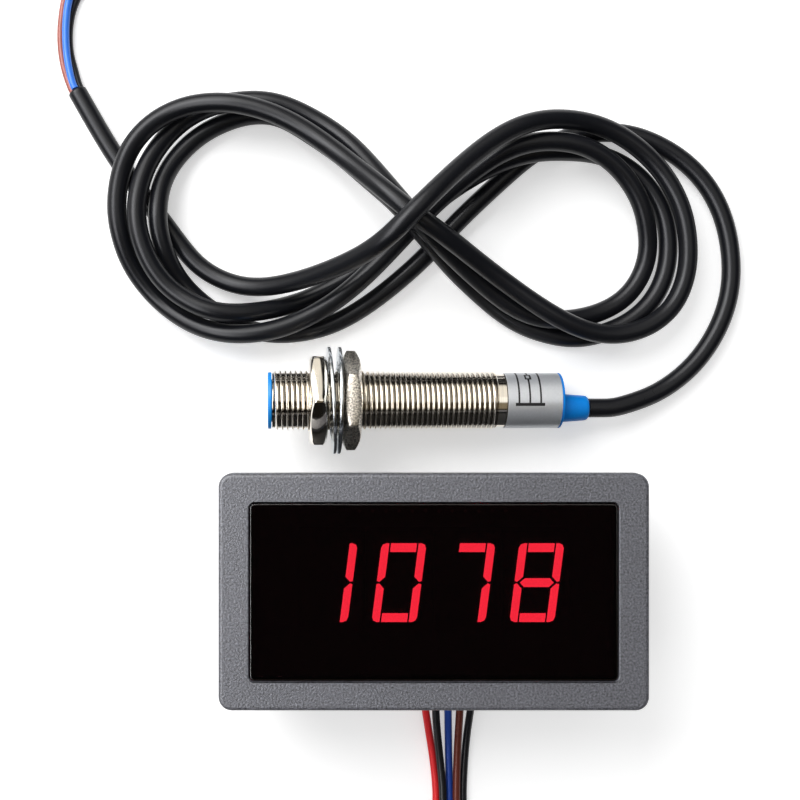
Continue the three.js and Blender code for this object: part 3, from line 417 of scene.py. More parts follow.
# %% Cable
cable_radius = 0.0038 / 2
cord_gap = 0.0003
sensor_place = np.array((-0.031, 0.0351, 0.011982))
sensor_tilt = math.radians(6.5)
cable_route = [
    (0.0419, 0.0351, 0.0033), (0.047, 0.0371, 0.0021), (0.0535, 0.0421, 0.0021),
    (0.0584, 0.0495, 0.0021), (0.0608, 0.057, 0.0021), (0.06095, 0.0645, 0.0021),
    (0.05945, 0.0723, 0.0021), (0.05595, 0.0791, 0.0021), (0.0508, 0.0842, 0.0021),
    (0.045, 0.0875, 0.0021), (0.0397, 0.0892, 0.0021), (0.0339, 0.0895, 0.0021),
    (0.0272, 0.0884, 0.0021), (0.0213, 0.0856, 0.0021), (0.0163, 0.0815, 0.0021),
    (0.01, 0.0757, 0.0021), (0.0041, 0.07, 0.0021), (-0.00055, 0.0645, 0.0021),
    (-0.00905, 0.057, 0.0021), (-0.0169, 0.0516, 0.0021), (-0.0234, 0.0492, 0.0021),
    (-0.0295, 0.0484, 0.0021), (-0.0349, 0.0488, 0.0021), (-0.04, 0.0506, 0.0021),
    (-0.0451, 0.0538, 0.0021), (-0.0494, 0.0576, 0.0023), (-0.052, 0.0615, 0.0042),
    (-0.0534, 0.0657, 0.006), (-0.0543, 0.0697, 0.0066), (-0.0544, 0.074, 0.0064),
    (-0.05385, 0.0798, 0.0041), (-0.05065, 0.0854, 0.0021), (-0.0462, 0.0892, 0.0021),
    (-0.04135, 0.0916, 0.0021), (-0.0364, 0.09305, 0.0021), (-0.0305, 0.09285, 0.0021),
    (-0.0244, 0.0889, 0.0021), (-0.018, 0.0845, 0.0032), (-0.0119, 0.0785, 0.0062),
    (-0.0065, 0.0734, 0.0105), (-0.0027, 0.0685, 0.011), (0.0009, 0.065, 0.008),
    (0.0042, 0.0614, 0.0052), (0.00855, 0.05755, 0.003), (0.01325, 0.05345, 0.0021),
    (0.01795, 0.05035, 0.0021), (0.02235, 0.04875, 0.0021), (0.0264, 0.0478, 0.0021),
    (0.0306, 0.0476, 0.0021), (0.0355, 0.0488, 0.0021), (0.0403, 0.0509, 0.0021),
    (0.0446, 0.0546, 0.0021), (0.0475, 0.0599, 0.0021), (0.0483, 0.066, 0.0021),
    (0.0476, 0.072, 0.0021), (0.0452, 0.0771, 0.0021), (0.0408, 0.082, 0.0021),
    (0.0342, 0.085, 0.0026), (0.0274, 0.0849, 0.00515), (0.0216, 0.0846, 0.0065),
    (0.0162, 0.0835, 0.0065), (0.0104, 0.0811, 0.0049), (0.0047, 0.0779, 0.0028),
    (-0.0001, 0.0743, 0.0021), (-0.0062, 0.069, 0.0021), (-0.0111, 0.0643, 0.0021),
    (-0.0157, 0.0605, 0.0021), (-0.0204, 0.0577, 0.0021), (-0.0265, 0.0548, 0.0021),
    (-0.0339, 0.0527, 0.006), (-0.0411, 0.0521, 0.0084), (-0.0464, 0.0537, 0.0081),
    (-0.0519, 0.0571, 0.0076), (-0.0556, 0.062, 0.0084), (-0.0578, 0.0682, 0.0088),
    (-0.0584, 0.0736, 0.0083), (-0.0572, 0.0804, 0.0071), (-0.0544, 0.0866, 0.0045),
    (-0.0501, 0.0915, 0.0033), (-0.0443, 0.094, 0.005), (-0.0398, 0.0946, 0.0058),
    (-0.0348, 0.0949, 0.0065), (-0.0296, 0.0942, 0.0064), (-0.02355, 0.09135, 0.0064),
    (-0.01695, 0.08695, 0.0075), (-0.01155, 0.08065, 0.0107), (-0.0062, 0.0735, 0.015),
    (-0.0018, 0.0685, 0.015), (0.0019, 0.0651, 0.0129), (0.0059, 0.0616, 0.0098),
    (0.0126, 0.056, 0.0072), (0.0179, 0.0525, 0.0062), (0.0235, 0.051, 0.0056),
    (0.0298, 0.0515, 0.0037), (0.0353, 0.0532, 0.0021), (0.0397, 0.0559, 0.0021),
    (0.0428, 0.0603, 0.0021), (0.0441, 0.0655, 0.0027), (0.0432, 0.0709, 0.0045),
    (0.04155, 0.07575, 0.0056), (0.03745, 0.08125, 0.0069), (0.03145, 0.08505, 0.0086),
    (0.0253, 0.086, 0.0099), (0.0193, 0.0856, 0.0108), (0.0133, 0.0836, 0.0104),
    (0.0072, 0.0795, 0.0083), (0.0006, 0.0742, 0.0062), (-0.0054, 0.0678, 0.0064),
    (-0.011, 0.0618, 0.0065), (-0.0155, 0.0576, 0.0065), (-0.0201, 0.0541, 0.0062),
    (-0.0262, 0.0507, 0.0063), (-0.0322, 0.0487, 0.0066), (-0.0384, 0.0481, 0.0062),
    (-0.0442, 0.0489, 0.0052), (-0.0499, 0.0513, 0.0034), (-0.0558, 0.0558, 0.0021),
    (-0.0604, 0.0621, 0.004), (-0.06205, 0.0686, 0.0065), (-0.06265, 0.0739, 0.0066),
    (-0.06195, 0.0799, 0.0066), (-0.05945, 0.08595, 0.0075), (-0.05455, 0.09095, 0.0074),
    (-0.04775, 0.09355, 0.0086), (-0.0405, 0.0936, 0.0101), (-0.0349, 0.0926, 0.0104),
    (-0.029, 0.0905, 0.0107), (-0.0227, 0.0867, 0.0112), (-0.0156, 0.0808, 0.0136),
    (-0.01, 0.0757, 0.0178), (-0.0054, 0.0716, 0.0194), (-0.0013, 0.0686, 0.0194),
    (0.003, 0.06595, 0.0174), (0.0095, 0.0614, 0.013), (0.0163, 0.05665, 0.0106),
    (0.02395, 0.0515, 0.0099), (0.0311, 0.0485, 0.0078), (0.0373, 0.0479, 0.0065),
    (0.0435, 0.0496, 0.0056), (0.0486, 0.0536, 0.0047), (0.0511, 0.0594, 0.0049),
    (0.0516, 0.0656, 0.0052), (0.0505, 0.0732, 0.0053), (0.0468, 0.0804, 0.0052),
    (0.04125, 0.08575, 0.006), (0.0343, 0.08945, 0.0076), (0.0263, 0.0903, 0.0106),
    (0.0194, 0.089, 0.0138), (0.0136, 0.0862, 0.0158), (0.008, 0.0818, 0.018),
    (0.0025, 0.0763, 0.0216), (-0.0029, 0.0706, 0.0244), (-0.0084, 0.0652, 0.0226),
    (-0.0134, 0.0624, 0.018), (-0.0195, 0.0603, 0.0134), (-0.0259, 0.0586, 0.009),
    (-0.034, 0.0574, 0.005), (-0.04065, 0.05855, 0.0028), (-0.04685, 0.06185, 0.0021),
    (-0.05085, 0.06675, 0.0021), (-0.0546, 0.072, 0.0021), (-0.0592, 0.0777, 0.0021),
    (-0.0645, 0.08545, 0.0021), (-0.0681, 0.0916, 0.0021), (-0.07155, 0.0977, 0.0021),
]


def from_sensor(points):
    """Points given from the middle of the barrel's front face, along it, across it and up."""
    x, y, z = np.asarray(points, float).T
    return sensor_place + np.stack([x * math.cos(sensor_tilt) + z * math.sin(sensor_tilt), y,
                                    z * math.cos(sensor_tilt) - x * math.sin(sensor_tilt)], 1)


boot_offset = -0.0015
boot_end = 0.0626
cable_straight = 0.0027
cable_cut = 0.0003
cable_starts = [(boot_end + cord_gap + step * cable_straight, boot_offset, 0) for step in range(3)]
cable_path = spline([*from_sensor(cable_starts), *cable_route])
jacket_black = grained("jacket_black", paint(23, 24, 28), 0.3, spread=0.15, scale=1500.0,
                       relief=0.00001, Specular_IOR_Level=0.22)
cable = piece("sensor_cable_jacket", tube(*with_cut_end(cable_path, cable_radius, cable_cut), 24),
              jacket_black, stands_for=["sensor_cable"])
print("cable length:", round(path_length(cable_path), 4), "m")

# %% [markdown]
# ## Bare strands
# Where the insulation is stripped, the conductor shows as a bundle of tinned copper strands with
# a slow twist. Seven strands, six turned round one, is the simplest bundle that packs well.
# Modelled strands catch the light one by one, which a striped cylinder would not do.

# %% Strands and stripped wires
core_radius = 0.00035
core_length = 0.005
core_pitch = 0.006
core_step = 0.0004
insulation_cut = 0.00012
insulation_step = 0.0007
tinned, tree, shader = material("tinned_strands", Metallic=1.0)
look = placed(tree, grain, Color=paint(205, 196, 182), Spread=0.25, Scale=3000.0, Mottle=0.1)
fed(tree, shader.inputs, {"Base Color": look["Color"], "Roughness": handled(tree, 0.32, 0.3, 900.0)})


def strands(path):
    """Seven strands round a path, six of them twisted round the middle one."""
    strand = core_radius / 3
    across, up = carried_frames(path)
    parts = [tube(path, strand, 8)]
    for number in range(6):
        turn = (2 * math.pi * (reach_along(path) / core_pitch + number / 6))[:, None]
        parts.append(tube(path + 2 * strand * (np.cos(turn) * across + np.sin(turn) * up), strand, 8))
    return combined(parts)


def stripped_wire(name, path, radius, cover, body, stands_for):
    """A wire in one mesh: its insulation as a tube and its bare end as strands."""
    length = path_length(path)
    covered = along(path, 0, length - core_length, insulation_step)
    jacket = tube(*with_cut_end(covered, radius, insulation_cut), 14)
    bare = strands(along(path, length - core_length - radius, length, core_step))
    made = piece(name, combined([jacket, bare]), cover, body, stands_for)
    refinished(made, made.data.polygons[len(jacket[1]):], tinned)
    return made


print("bare core:", core_length, "m long and", 2 * core_radius, "m thick")

# %% [markdown]
# ## The cable's three leads
# At its end the jacket stops and the three insulated cores go on alone: brown, blue and
# black. They start side by side inside the jacket and fan out over the floor, and each ends
# in a few millimetres of bare conductor.

# %% Leads
lead_routes = [
    [
        (-0.0743, 0.1019, 0.001), (-0.075, 0.1052, 0.00078), (-0.0753, 0.1088, 0.00078),
        (-0.0751, 0.1126, 0.00078), (-0.0744, 0.1172, 0.00078), (-0.073, 0.1219, 0.00078),
        (-0.07, 0.1264, 0.00078), (-0.066, 0.1294, 0.00078), (-0.0616, 0.131, 0.00078),
        (-0.0569, 0.1318, 0.00078), (-0.052, 0.1322, 0.00078),
    ],
    [
        (-0.07305, 0.1022, 0.0028), (-0.0736, 0.1054, 0.0025), (-0.0738, 0.1088, 0.00245),
        (-0.0737, 0.1124, 0.00245), (-0.0732, 0.1164, 0.00235), (-0.07185, 0.1206, 0.0017),
        (-0.0692, 0.1242, 0.00078), (-0.0652, 0.1269, 0.00078), (-0.0609, 0.1284, 0.00078),
        (-0.0558, 0.129, 0.00078), (-0.0506, 0.1292, 0.00078),
    ],
    [
        (-0.07245, 0.1027, 0.00085), (-0.0733, 0.1054, 0.00078), (-0.0736, 0.1088, 0.00078),
        (-0.07335, 0.1126, 0.00078), (-0.0722, 0.1166, 0.00078), (-0.0697, 0.1205, 0.00078),
        (-0.0668, 0.1232, 0.00078), (-0.0634, 0.1248, 0.00078), (-0.0594, 0.1256, 0.00078),
        (-0.054, 0.126, 0.00078), (-0.0488, 0.1262, 0.00078),
    ],
]
lead_radius = 0.00145 / 2
lead_straight = 0.001
lead_shifts = {"brown": (-0.00085, -0.0005), "blue": (0, 0.00095), "black": (0.00085, -0.0005)}


def insulation(color, *shade):
    """A wire's soft plastic in a colour of its own."""
    return grained(f"insulation_{color}", paint(*shade), 0.34, spread=0.08, Specular_IOR_Level=0.3)


black_cover = insulation("black", 28, 29, 33)
lead_covers = {
    "brown": grained("lead_brown", paint(168, 92, 80), 0.36, spread=0.08),
    "blue": grained("lead_blue", paint(54, 128, 240), 0.36, spread=0.06),
    "black": black_cover,
}
cable_end = np.array(cable_route[-1])
cable_heading = unit(cable_end - cable_route[-2])
cable_side = np.cross(cable_heading, (0, 0, 1))
for route, (color, (sideways, up)) in zip(lead_routes, lead_shifts.items()):
    starts = [cable_end + cable_heading * reach + cable_side * sideways + np.array((0, 0, up))
              for reach in (cord_gap, cord_gap + lead_straight)]
    path = spline([*starts, *route])
    made = stripped_wire(f"stripped_lead_{color}", path, lead_radius, lead_covers[color],
                         "meter_and_sensor", [f"lead_{color}"])

# %% [markdown]
# ## The meter's five wires
# Five thin wires leave the plug in a row, close up into a flat ribbon and end in one shared
# coil, as a new wire set is packed. A wire is 15 cm long: part is the run that the listed
# points give, and the rest goes round the coil, so the number of turns follows from the
# length. Each wire keeps its own radius there, and climbs by one wire in the middle of each turn.

# %% Wires
wire_routes = [
    [
        (-0.0013, -0.0256, 0.0045), (-0.0008, -0.029, 0.0029), (-0.0002, -0.033, 0.00145),
        (0.0006, -0.038, 0.00083), (0.0011, -0.043, 0.00083), (0.00125, -0.047, 0.00083),
        (0.0004, -0.0505, 0.00083), (0.0001, -0.054, 0.00083), (0.0001, -0.058, 0.00083),
    ],
    [
        (0.0009, -0.0256, 0.0049), (0.00105, -0.029, 0.004), (0.0014, -0.033, 0.0031),
        (0.00195, -0.038, 0.0023), (0.00245, -0.043, 0.00215), (0.00255, -0.047, 0.0021),
        (0.0022, -0.0505, 0.0016), (0.002, -0.054, 0.00095), (0.002, -0.058, 0.00083),
    ],
    [
        (0.0034, -0.0256, 0.0045), (0.0035, -0.029, 0.0029), (0.0036, -0.033, 0.00145),
        (0.0037, -0.038, 0.00083), (0.00385, -0.043, 0.00083), (0.0039, -0.047, 0.00083),
        (0.0039, -0.0505, 0.00083), (0.0039, -0.054, 0.00083), (0.0039, -0.058, 0.00083),
    ],
    [
        (0.0058, -0.0256, 0.0049), (0.0057, -0.029, 0.004), (0.0055, -0.033, 0.0031),
        (0.0053, -0.038, 0.0023), (0.0052, -0.043, 0.00215), (0.0052, -0.047, 0.0021),
        (0.0056, -0.0505, 0.0016), (0.0058, -0.054, 0.00095), (0.0058, -0.058, 0.00083),
    ],
    [
        (0.0081, -0.0256, 0.0045), (0.00775, -0.029, 0.0029), (0.0073, -0.033, 0.00145),
        (0.0069, -0.038, 0.00083), (0.00665, -0.043, 0.00083), (0.00655, -0.047, 0.00083),
        (0.0073, -0.0505, 0.00083), (0.00765, -0.054, 0.00083), (0.0077, -0.058, 0.00083),
    ],
]
wire_radius = 0.00155 / 2
wire_length = 0.150
wire_pitch = 0.0025
plug_middle = (0.0034, 0.0053)
wire_places = [plug_middle[0] + (number - 2) * wire_pitch for number in range(5)]
wire_start = -0.0205 - cord_gap
wire_straight = 0.002
coil_middle = (-0.0069, -0.066)
coil_inner_radius = 0.007
coil_spacing = 0.0019
coil_climb = 0.002
coil_floor = 0.00083
coil_step = 0.0005
wire_covers = {"red": insulation("red", 250, 48, 54), "black": black_cover,
               "blue": insulation("blue", 40, 78, 176),
               "brown": insulation("brown", 104, 46, 34), "dark": black_cover}


def coil(radius, length):
    """Points of a coil that turns clockwise and climbs in the middle of each turn."""
    turn = np.linspace(0, length / (2 * math.pi * radius), math.ceil(length / coil_step))
    whole = np.floor(turn)
    share = np.clip((turn - whole - 0.25) / 0.5, 0, 1)
    climbed = whole + share * share * (3 - 2 * share)
    angle = -2 * math.pi * turn
    return np.stack([coil_middle[0] + radius * np.cos(angle), coil_middle[1] + radius * np.sin(angle),
                     coil_floor + coil_climb * climbed], 1)


for number, (name, cover) in enumerate(wire_covers.items()):
    radius = coil_inner_radius + number * coil_spacing
    starts = [(wire_places[number], wire_start - reach, plug_middle[1]) for reach in (0, wire_straight)]
    ends = [(coil_middle[0] + radius, coil_middle[1] + cord_gap + reach, coil_floor)
            for reach in (wire_straight, 0)]
    run = spline([*starts, *wire_routes[number], *ends])
    path = np.vstack([run, coil(radius, wire_length - path_length(run))])
    stripped_wire(f"stripped_wire_{name}", path, wire_radius, cover,
                                       "wire_set", [f"wire_{name}", f"wire_{name}_coil"])
    print(f"wire_{name}:", round(path_length(path), 4), "m")

# %% [markdown]
# ## Rings with round corners
# The bezel, its window and the lens are all rectangles with round corners. Cutting them out of
# blocks would leave uneven faces, so each is built from rings instead, from one level to the
# next. One helper writes such a ring, and others give smaller sizes and round edges.

# %% Rounded rectangles
def rounded_ring(width, height, radius, level, corner_steps=8):
    """Points round a rectangle with round corners, at one level."""
    turns = np.linspace(0, math.pi / 2, corner_steps + 1)
    points = []
    for quarter, (across, up) in enumerate(((1, 1), (-1, 1), (-1, -1), (1, -1))):
        middle = np.array((across * (width / 2 - radius), up * (height / 2 - radius)))
        turned = turns + quarter * math.pi / 2
        points += [(*(middle + radius * np.array((math.cos(t), math.sin(t)))), level) for t in turned]
    return points


def inset(size, margin):
    """The width and height of a rectangle that lies inside another by a margin."""
    return size[0] - 2 * margin, size[1] - 2 * margin


def edge_turns(radius, steps=5):
    """How far a round edge has come in and gone up, step by step."""
    for turn in np.linspace(0, math.pi / 2, steps):
        yield radius * (1 - math.cos(turn)), radius * math.sin(turn)


def size_of(node):
    """A CAD node's lowest corner and its size."""
    low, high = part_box(node)
    return np.array(low), np.array(high) - np.array(low)


bezel_low, bezel_size = size_of("front_bezel")
lens_low, lens_size = size_of("filter_lens")
print("bezel in the CAD:", np.round(bezel_size, 4).tolist(), "lens:", np.round(lens_size, 4).tolist())

# %% [markdown]
# ## Front bezel
# The bezel is a moulded frame, 79 by 43.5 mm. Its outer edge is rounded by 0.7 mm, its face is
# flat, and a small soft edge leads into the window. Behind, it is recessed for the lens and for
# the rim of the case. All of that is one section that runs round the frame, so the mesh is a
# closed loop of rings. A ring just inside each round edge keeps the flat faces flat.

# %% Bezel
flange_level = bezel_low[2]
front_level = flange_level + bezel_size[2]
outer_corner = 0.0025
outer_edge = 0.0007
frame_side = 0.0056
frame_end = 0.00535
window_corner = 0.0011
window_edge = 0.00018
ledge_space = 0.00015
ledge_top = flange_level + 0.00105
rim_size = (0.0755, 0.0395)
rim_corner = 0.00165
rim_level = flange_level + 0.0005
seat_corner = 0.00265
holding = 0.0001
window = (bezel_size[0] - 2 * frame_side, bezel_size[1] - 2 * frame_end)
seat = inset(lens_size, -ledge_space)
sections = [(*inset(bezel_size, 0), outer_corner, flange_level)]
for inward, up in edge_turns(outer_edge):
    sections.append((*inset(bezel_size, inward), outer_corner - inward, front_level - outer_edge + up))
for inward in (outer_edge + holding, frame_side - window_edge - holding):
    corner = max(outer_corner - inward, window_corner + window_edge + holding)
    sections.append((*inset(bezel_size, inward), corner, front_level))
for inward, up in reversed(list(edge_turns(window_edge, 4))):
    sections.append((*inset(window, -inward), window_corner + inward, front_level - window_edge + up))
sections += [(*window, window_corner, ledge_top), (*seat, seat_corner, ledge_top),
             (*seat, seat_corner, rim_level), (*rim_size, rim_corner, rim_level),
             (*rim_size, rim_corner, flange_level)]
bezel_grey = grained("bezel_grey", paint(83, 84, 91), 0.42, spread=1.7, scale=2600.0, mottle=0.12,
                     relief=0.00012, Specular_IOR_Level=0.9)
bezel = piece("moulded_bezel", loft([rounded_ring(*section) for section in sections], joined=True),
              bezel_grey, stands_for=["front_bezel"])
print("bezel:", rounded_size(bezel))

# %% [markdown]
# ## Filter lens
# The lens is one pane of dark red acrylic with a ledge that the bezel holds. It lets only the
# red of the digits out, so everything behind it that isn't lit looks black. A clear
# Principled material with a dark tint does that: light is taken away once on the way in and
# once on the way out. The pane's edge is broken by a fine chamfer that catches a thin line.

# %% Lens
pane = inset(window, ledge_space)
pane_corner = window_corner - ledge_space
pane_edge = 0.0002
lens_top = lens_low[2] + lens_size[2]
lens_ledge = flange_level + 0.001
ledge_corner = 0.0025
sections = [(*inset(lens_size, 0), ledge_corner, flange_level),
            (*inset(lens_size, 0), ledge_corner, lens_ledge), (*pane, pane_corner, lens_ledge)]
for inward, up in edge_turns(pane_edge, 4):
    sections.append((*inset(pane, inward), pane_corner - inward, lens_top - pane_edge + up))
sections.append((*inset(pane, pane_edge + holding), pane_corner - pane_edge - holding, lens_top))
lens_red, tree, shader = material(
    "lens_red", Base_Color=(0.05, 0.0175, 0.0205, 1), IOR=1.49, Transmission_Weight=1.0,
    Specular_IOR_Level=0.3)
fed(tree, shader.inputs, {"Roughness": handled(tree, 0.02, 0.03, 120.0)})
lens = piece("filter_pane", loft([rounded_ring(*section) for section in sections], capped=True),
             lens_red, stands_for=["filter_lens"])
print("lens:", rounded_size(lens))

# %% [markdown]
# ## Digits
# Each digit is a black module whose face carries a film with seven strokes. In the CAD model
# the lit strokes stand 0.3 mm proud of the film, so their height alone tells the material
# where to glow: what lies above the film is lit, the rest is dark. The light behind a
# stroke spreads unevenly, so a broad noise changes its strength a little.

# %% Digit film
half_raise = 0.00015
film_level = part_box("digit_segments_1")[1][2] - half_raise
lit_film, tree, shader = material("lit_film", Roughness=0.45, Emission_Strength=19.8)
lit = calculated(tree, "GREATER_THAN", separated(tree, object_point(tree))["Z"], film_level)
glow = placed(tree, grain, Color=paint(252, 71, 95), Spread=0.02, Scale=1800.0, Mottle=0.08)["Color"]
fed(tree, shader.inputs, {"Emission Color": blended(tree, lit, (0, 0, 0, 1), glow),
                          "Base Color": blended(tree, lit, paint(22, 20, 21), paint(190, 40, 50))})
for number in range(1, 5):
    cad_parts[f"digit_segments_{number}"].data.materials[0] = lit_film
print("digits lit above", round(film_level, 5), "m")

# %% [markdown]
# ## Nickel plate
# The sensor's barrel and nuts are turned brass with bright nickel: a warm, slightly yellow
# mirror. A cutting tool leaves fine lines round the axis. Stretching a noise along one
# direction makes such lines, and the mapping is turned by the sensor's tilt, so they run round
# the barrel and not across it. They are a group, because the washers use it with other values.

# %% Turning marks and nickel
marks, given, result = group(
    "turning_marks", {"Color": "color", "Scale": "value", "Spread": "value"},
    {"Color": "color", "Height": "value"})
where = object_point(marks)
inputs = {"Vector": where, "Rotation": (0, -sensor_tilt, 0), "Scale": (1, 0.04, 0.04)}
stretched = add(marks, "ShaderNodeMapping", inputs).outputs[0]
lines = noise(marks, stretched, given["Scale"], 3.0)
stains = noise(marks, where, 260.0, 4.0)
swing = calculated(marks, "ADD", calculated(marks, "SUBTRACT", lines, 0.5),
                   calculated(marks, "SUBTRACT", stains, 0.5))
level = calculated(marks, "MULTIPLY_ADD", swing, given["Spread"], 1.0)
fed(marks, result, {"Color": shaded(marks, given["Color"], level), "Height": lines})


def plated(name, color, roughness, scale=5000.0, spread=0.3):
    """A plated metal with turning marks in its colour and surface."""
    made, tree, shader = material(name, Metallic=1.0)
    look = placed(tree, marks, Color=color, Scale=scale, Spread=spread)
    fed(tree, shader.inputs, {"Base Color": look["Color"],
                              "Roughness": handled(tree, roughness, 0.08, 700.0),
                              "Normal": bumped(tree, look["Height"], 0.000004, 0.7)})
    return made


nickel_color = (0.84, 0.79, 0.71, 1)
nickel_roughness = 0.09
nickel = plated("bright_nickel", nickel_color, nickel_roughness)
satin_nickel = grained("satin_nickel", (0.72, 0.67, 0.6, 1), 0.4, spread=1.7, scale=3000.0,
                       mottle=0.5, change=0.3, Metallic=1.0)
zinc = plated("blued_zinc", (0.66, 0.70, 0.74, 1), 0.22, scale=3000.0, spread=0.5)
print("plated metals:", nickel.name, satin_nickel.name, zinc.name)

# %% [markdown]
# ## A thread's surface
# An M12 fine thread has a pitch of 1 mm. A row of separate grooves would be wrong, since a
# nut runs along one groove that winds round. So the grid itself is sheared: each column of
# points is shifted a little along the axis, and after one turn the last column meets the first
# one pitch further on. The flanks then follow the edges of the mesh and stay crisp.

# %% Thread surface
thread_columns = 96
groove = [(0.0, 1.0), (0.12, 1.0), (0.40, 0.06), (0.46, 0.0), (0.54, 0.0), (0.60, 0.06), (0.88, 1.0)]
thinnest = 1e-7


def thread_surface(radius, depth, pitch, start, end, limit):
    """A helical thread between two places on the axis, as vertices and faces."""
    first, last = math.floor(start / pitch) - 1, math.ceil(end / pitch) + 2
    rows = [(turn + share) * pitch for turn in range(first, last) for share, _ in groove]
    shares, depths = zip(*groove, (1.0, 1.0))
    vertices, faces = [], []
    for row in rows:
        for column in range(thread_columns):
            turn = column / thread_columns
            x = min(max(row + pitch * turn, start), end)
            phase = (x / pitch - turn) % 1.0
            r = min(radius - depth * np.interp(phase, shares, depths), limit(x))
            angle = 2 * math.pi * turn
            vertices.append((x, r * math.cos(angle), r * math.sin(angle)))
    one_pitch = (len(groove) - 1) * thread_columns
    for row in range(len(rows) - len(groove) - 1):
        for column in range(thread_columns):
            at = row * thread_columns + column
            beside = at + 1 if column + 1 < thread_columns else at + 1 + one_pitch
            quad = (at, beside, beside + thread_columns, at + thread_columns)
            along_axis = [vertices[corner][0] for corner in quad]
            if max(along_axis) - min(along_axis) > thinnest:
                faces.append(quad)
    return np.array(vertices), faces


print("points round a turn:", thread_columns, "and along one pitch:", len(groove))

# %% [markdown]
# ## Shapes round the sensor's axis
# Everything else on the sensor is turned or milled round one axis, so its sections are written
# along that axis and put in place at the end. Where two such surfaces meet, they have doubled
# points. Joining these makes one closed surface, whose faces can all be turned outwards.

# %% Rings on the sensor's axis
def turned_rings(profile, columns, offset=0.0):
    """Rings round the sensor's axis, or beside it, one for each place along it and radius."""
    turn = np.linspace(0, 2 * math.pi, columns, endpoint=False)
    return [np.stack([np.full(columns, x), offset + r * np.cos(turn), r * np.sin(turn)], 1)
            for x, r in profile]


def merged(made, distance=1e-6):
    """Joins an object's vertices that lie in the same place, and turns its faces outwards."""
    mesh = bmesh.new()
    mesh.from_mesh(made.data)
    bmesh.ops.remove_doubles(mesh, verts=mesh.verts, dist=distance)
    bmesh.ops.dissolve_degenerate(mesh, edges=mesh.edges, dist=distance)
    loose = [v for v in mesh.verts if not v.link_faces]
    bmesh.ops.delete(mesh, geom=loose, context="VERTS")
    bmesh.ops.recalc_face_normals(mesh, faces=mesh.faces)
    mesh.to_mesh(made.data)
    mesh.free()
    made.data.set_sharp_from_angle(angle=CREASE)


def sensor_piece(name, form, finish, node, body="meter_and_sensor"):
    """A piece given along the sensor's axis, put in its place with its points joined."""
    vertices, faces = form
    made = piece(name, (from_sensor(vertices), faces), finish, body, [node])
    merged(made)
    print(f"{name}:", rounded_size(made))


def on_sensor_axis(tree, scale=(1, 1, 1)):
    """A surface point, given from the barrel's front face along its axis, across and up."""
    inputs = {"Vector": object_point(tree), "Location": sensor_place,
              "Rotation": (0, sensor_tilt, 0), "Scale": scale}
    return add(tree, "ShaderNodeMapping", inputs, vector_type="TEXTURE").outputs[0]


print("end of the boot:", np.round(from_sensor([(boot_end, boot_offset, 0)])[0], 4).tolist())

# %% [markdown]
# ## The barrel
# The barrel is a tube with chamfers at both ends of its thread and a plain seat for the label
# behind it. The thread's nickel carries a painted shade that darkens it towards the axis,
# so its grooves look shaded. Two finishes share the piece: the thread's and the plain nickel.

# %% Barrel
barrel_radius = 0.0059
thread_depth = 0.00055
thread_pitch = 0.001
thread_length = 0.0437
relief_end = 0.04545
relief_radius = 0.00535
relief_edge = 0.0001
barrel_end = 0.05615
label_seat = 0.0050
bore_radius = 0.0044
bore_edge = 0.0002
barrel_chamfer = 0.0006
rear_chamfer = 0.0003
# Colour of the painted shade at the bottom of the thread's grooves.
groove_shade_color = (0.33, 0.3, 0.26, 1)
unshaded_depth = 0.35 * thread_depth


def barrel_limit(x):
    """The chamfers at both ends of the thread."""
    return min(barrel_radius - barrel_chamfer + x, barrel_radius - rear_chamfer + thread_length - x)


shaded_thread_nickel = plated("shaded_thread_nickel", nickel_color, nickel_roughness)
tree = shaded_thread_nickel.node_tree
# Painted shade: the thread's colour darkens from the flanks towards the bottom of each groove, nearer the
# axis.
flattened = on_sensor_axis(tree, scale=(1e6, 1, 1))
radius = add(tree, "ShaderNodeVectorMath", {0: flattened}, operation="LENGTH").outputs["Value"]
groove_shade = eased(tree, radius, barrel_radius - unshaded_depth, barrel_radius - thread_depth)
overlaid(shaded_thread_nickel, groove_shade, groove_shade_color)

helix = thread_surface(barrel_radius, thread_depth, thread_pitch, 0.0, thread_length, barrel_limit)
plain = [(0.0, barrel_radius - barrel_chamfer), (0.0, bore_radius + bore_edge),
         (bore_edge, bore_radius), (barrel_end, bore_radius), (barrel_end, label_seat),
         (relief_end, label_seat), (relief_end, relief_radius - relief_edge),
         (relief_end - relief_edge, relief_radius), (thread_length, relief_radius)]
points, faces = combined([helix, loft(turned_rings(plain, thread_columns))])
barrel = piece("nickel_barrel", (from_sensor(points), faces), nickel,
               stands_for=["threaded_barrel"])
refinished(barrel, barrel.data.polygons[:len(helix[1])], shaded_thread_nickel)
merged(barrel)
print("thread rows:", len(helix[0]) // thread_columns, "barrel:", rounded_size(barrel))

# %% [markdown]
# ## Nuts
# A turned nut is a hexagon whose corners a chamfer has cut at both faces, which leaves the round
# arcs on each flat. Round the axis its radius follows the hexagon, and the chamfer starts
# where a cone meets it. So every ring of the nut can be written down: for each angle, the
# place along the axis follows from the radius there.

# %% Nuts
nut_flats = 0.017
nut_corner = nut_flats / math.sqrt(3)
nut_thickness = 0.0034
nut_face = 0.0081
nut_bore = 0.00625
nut_chamfer = 0.0009
nut_waist = 0.0012
corner_cut = 0.00008
face_drop = 0.00002
face_edge = 0.00007
countersink = 0.0003


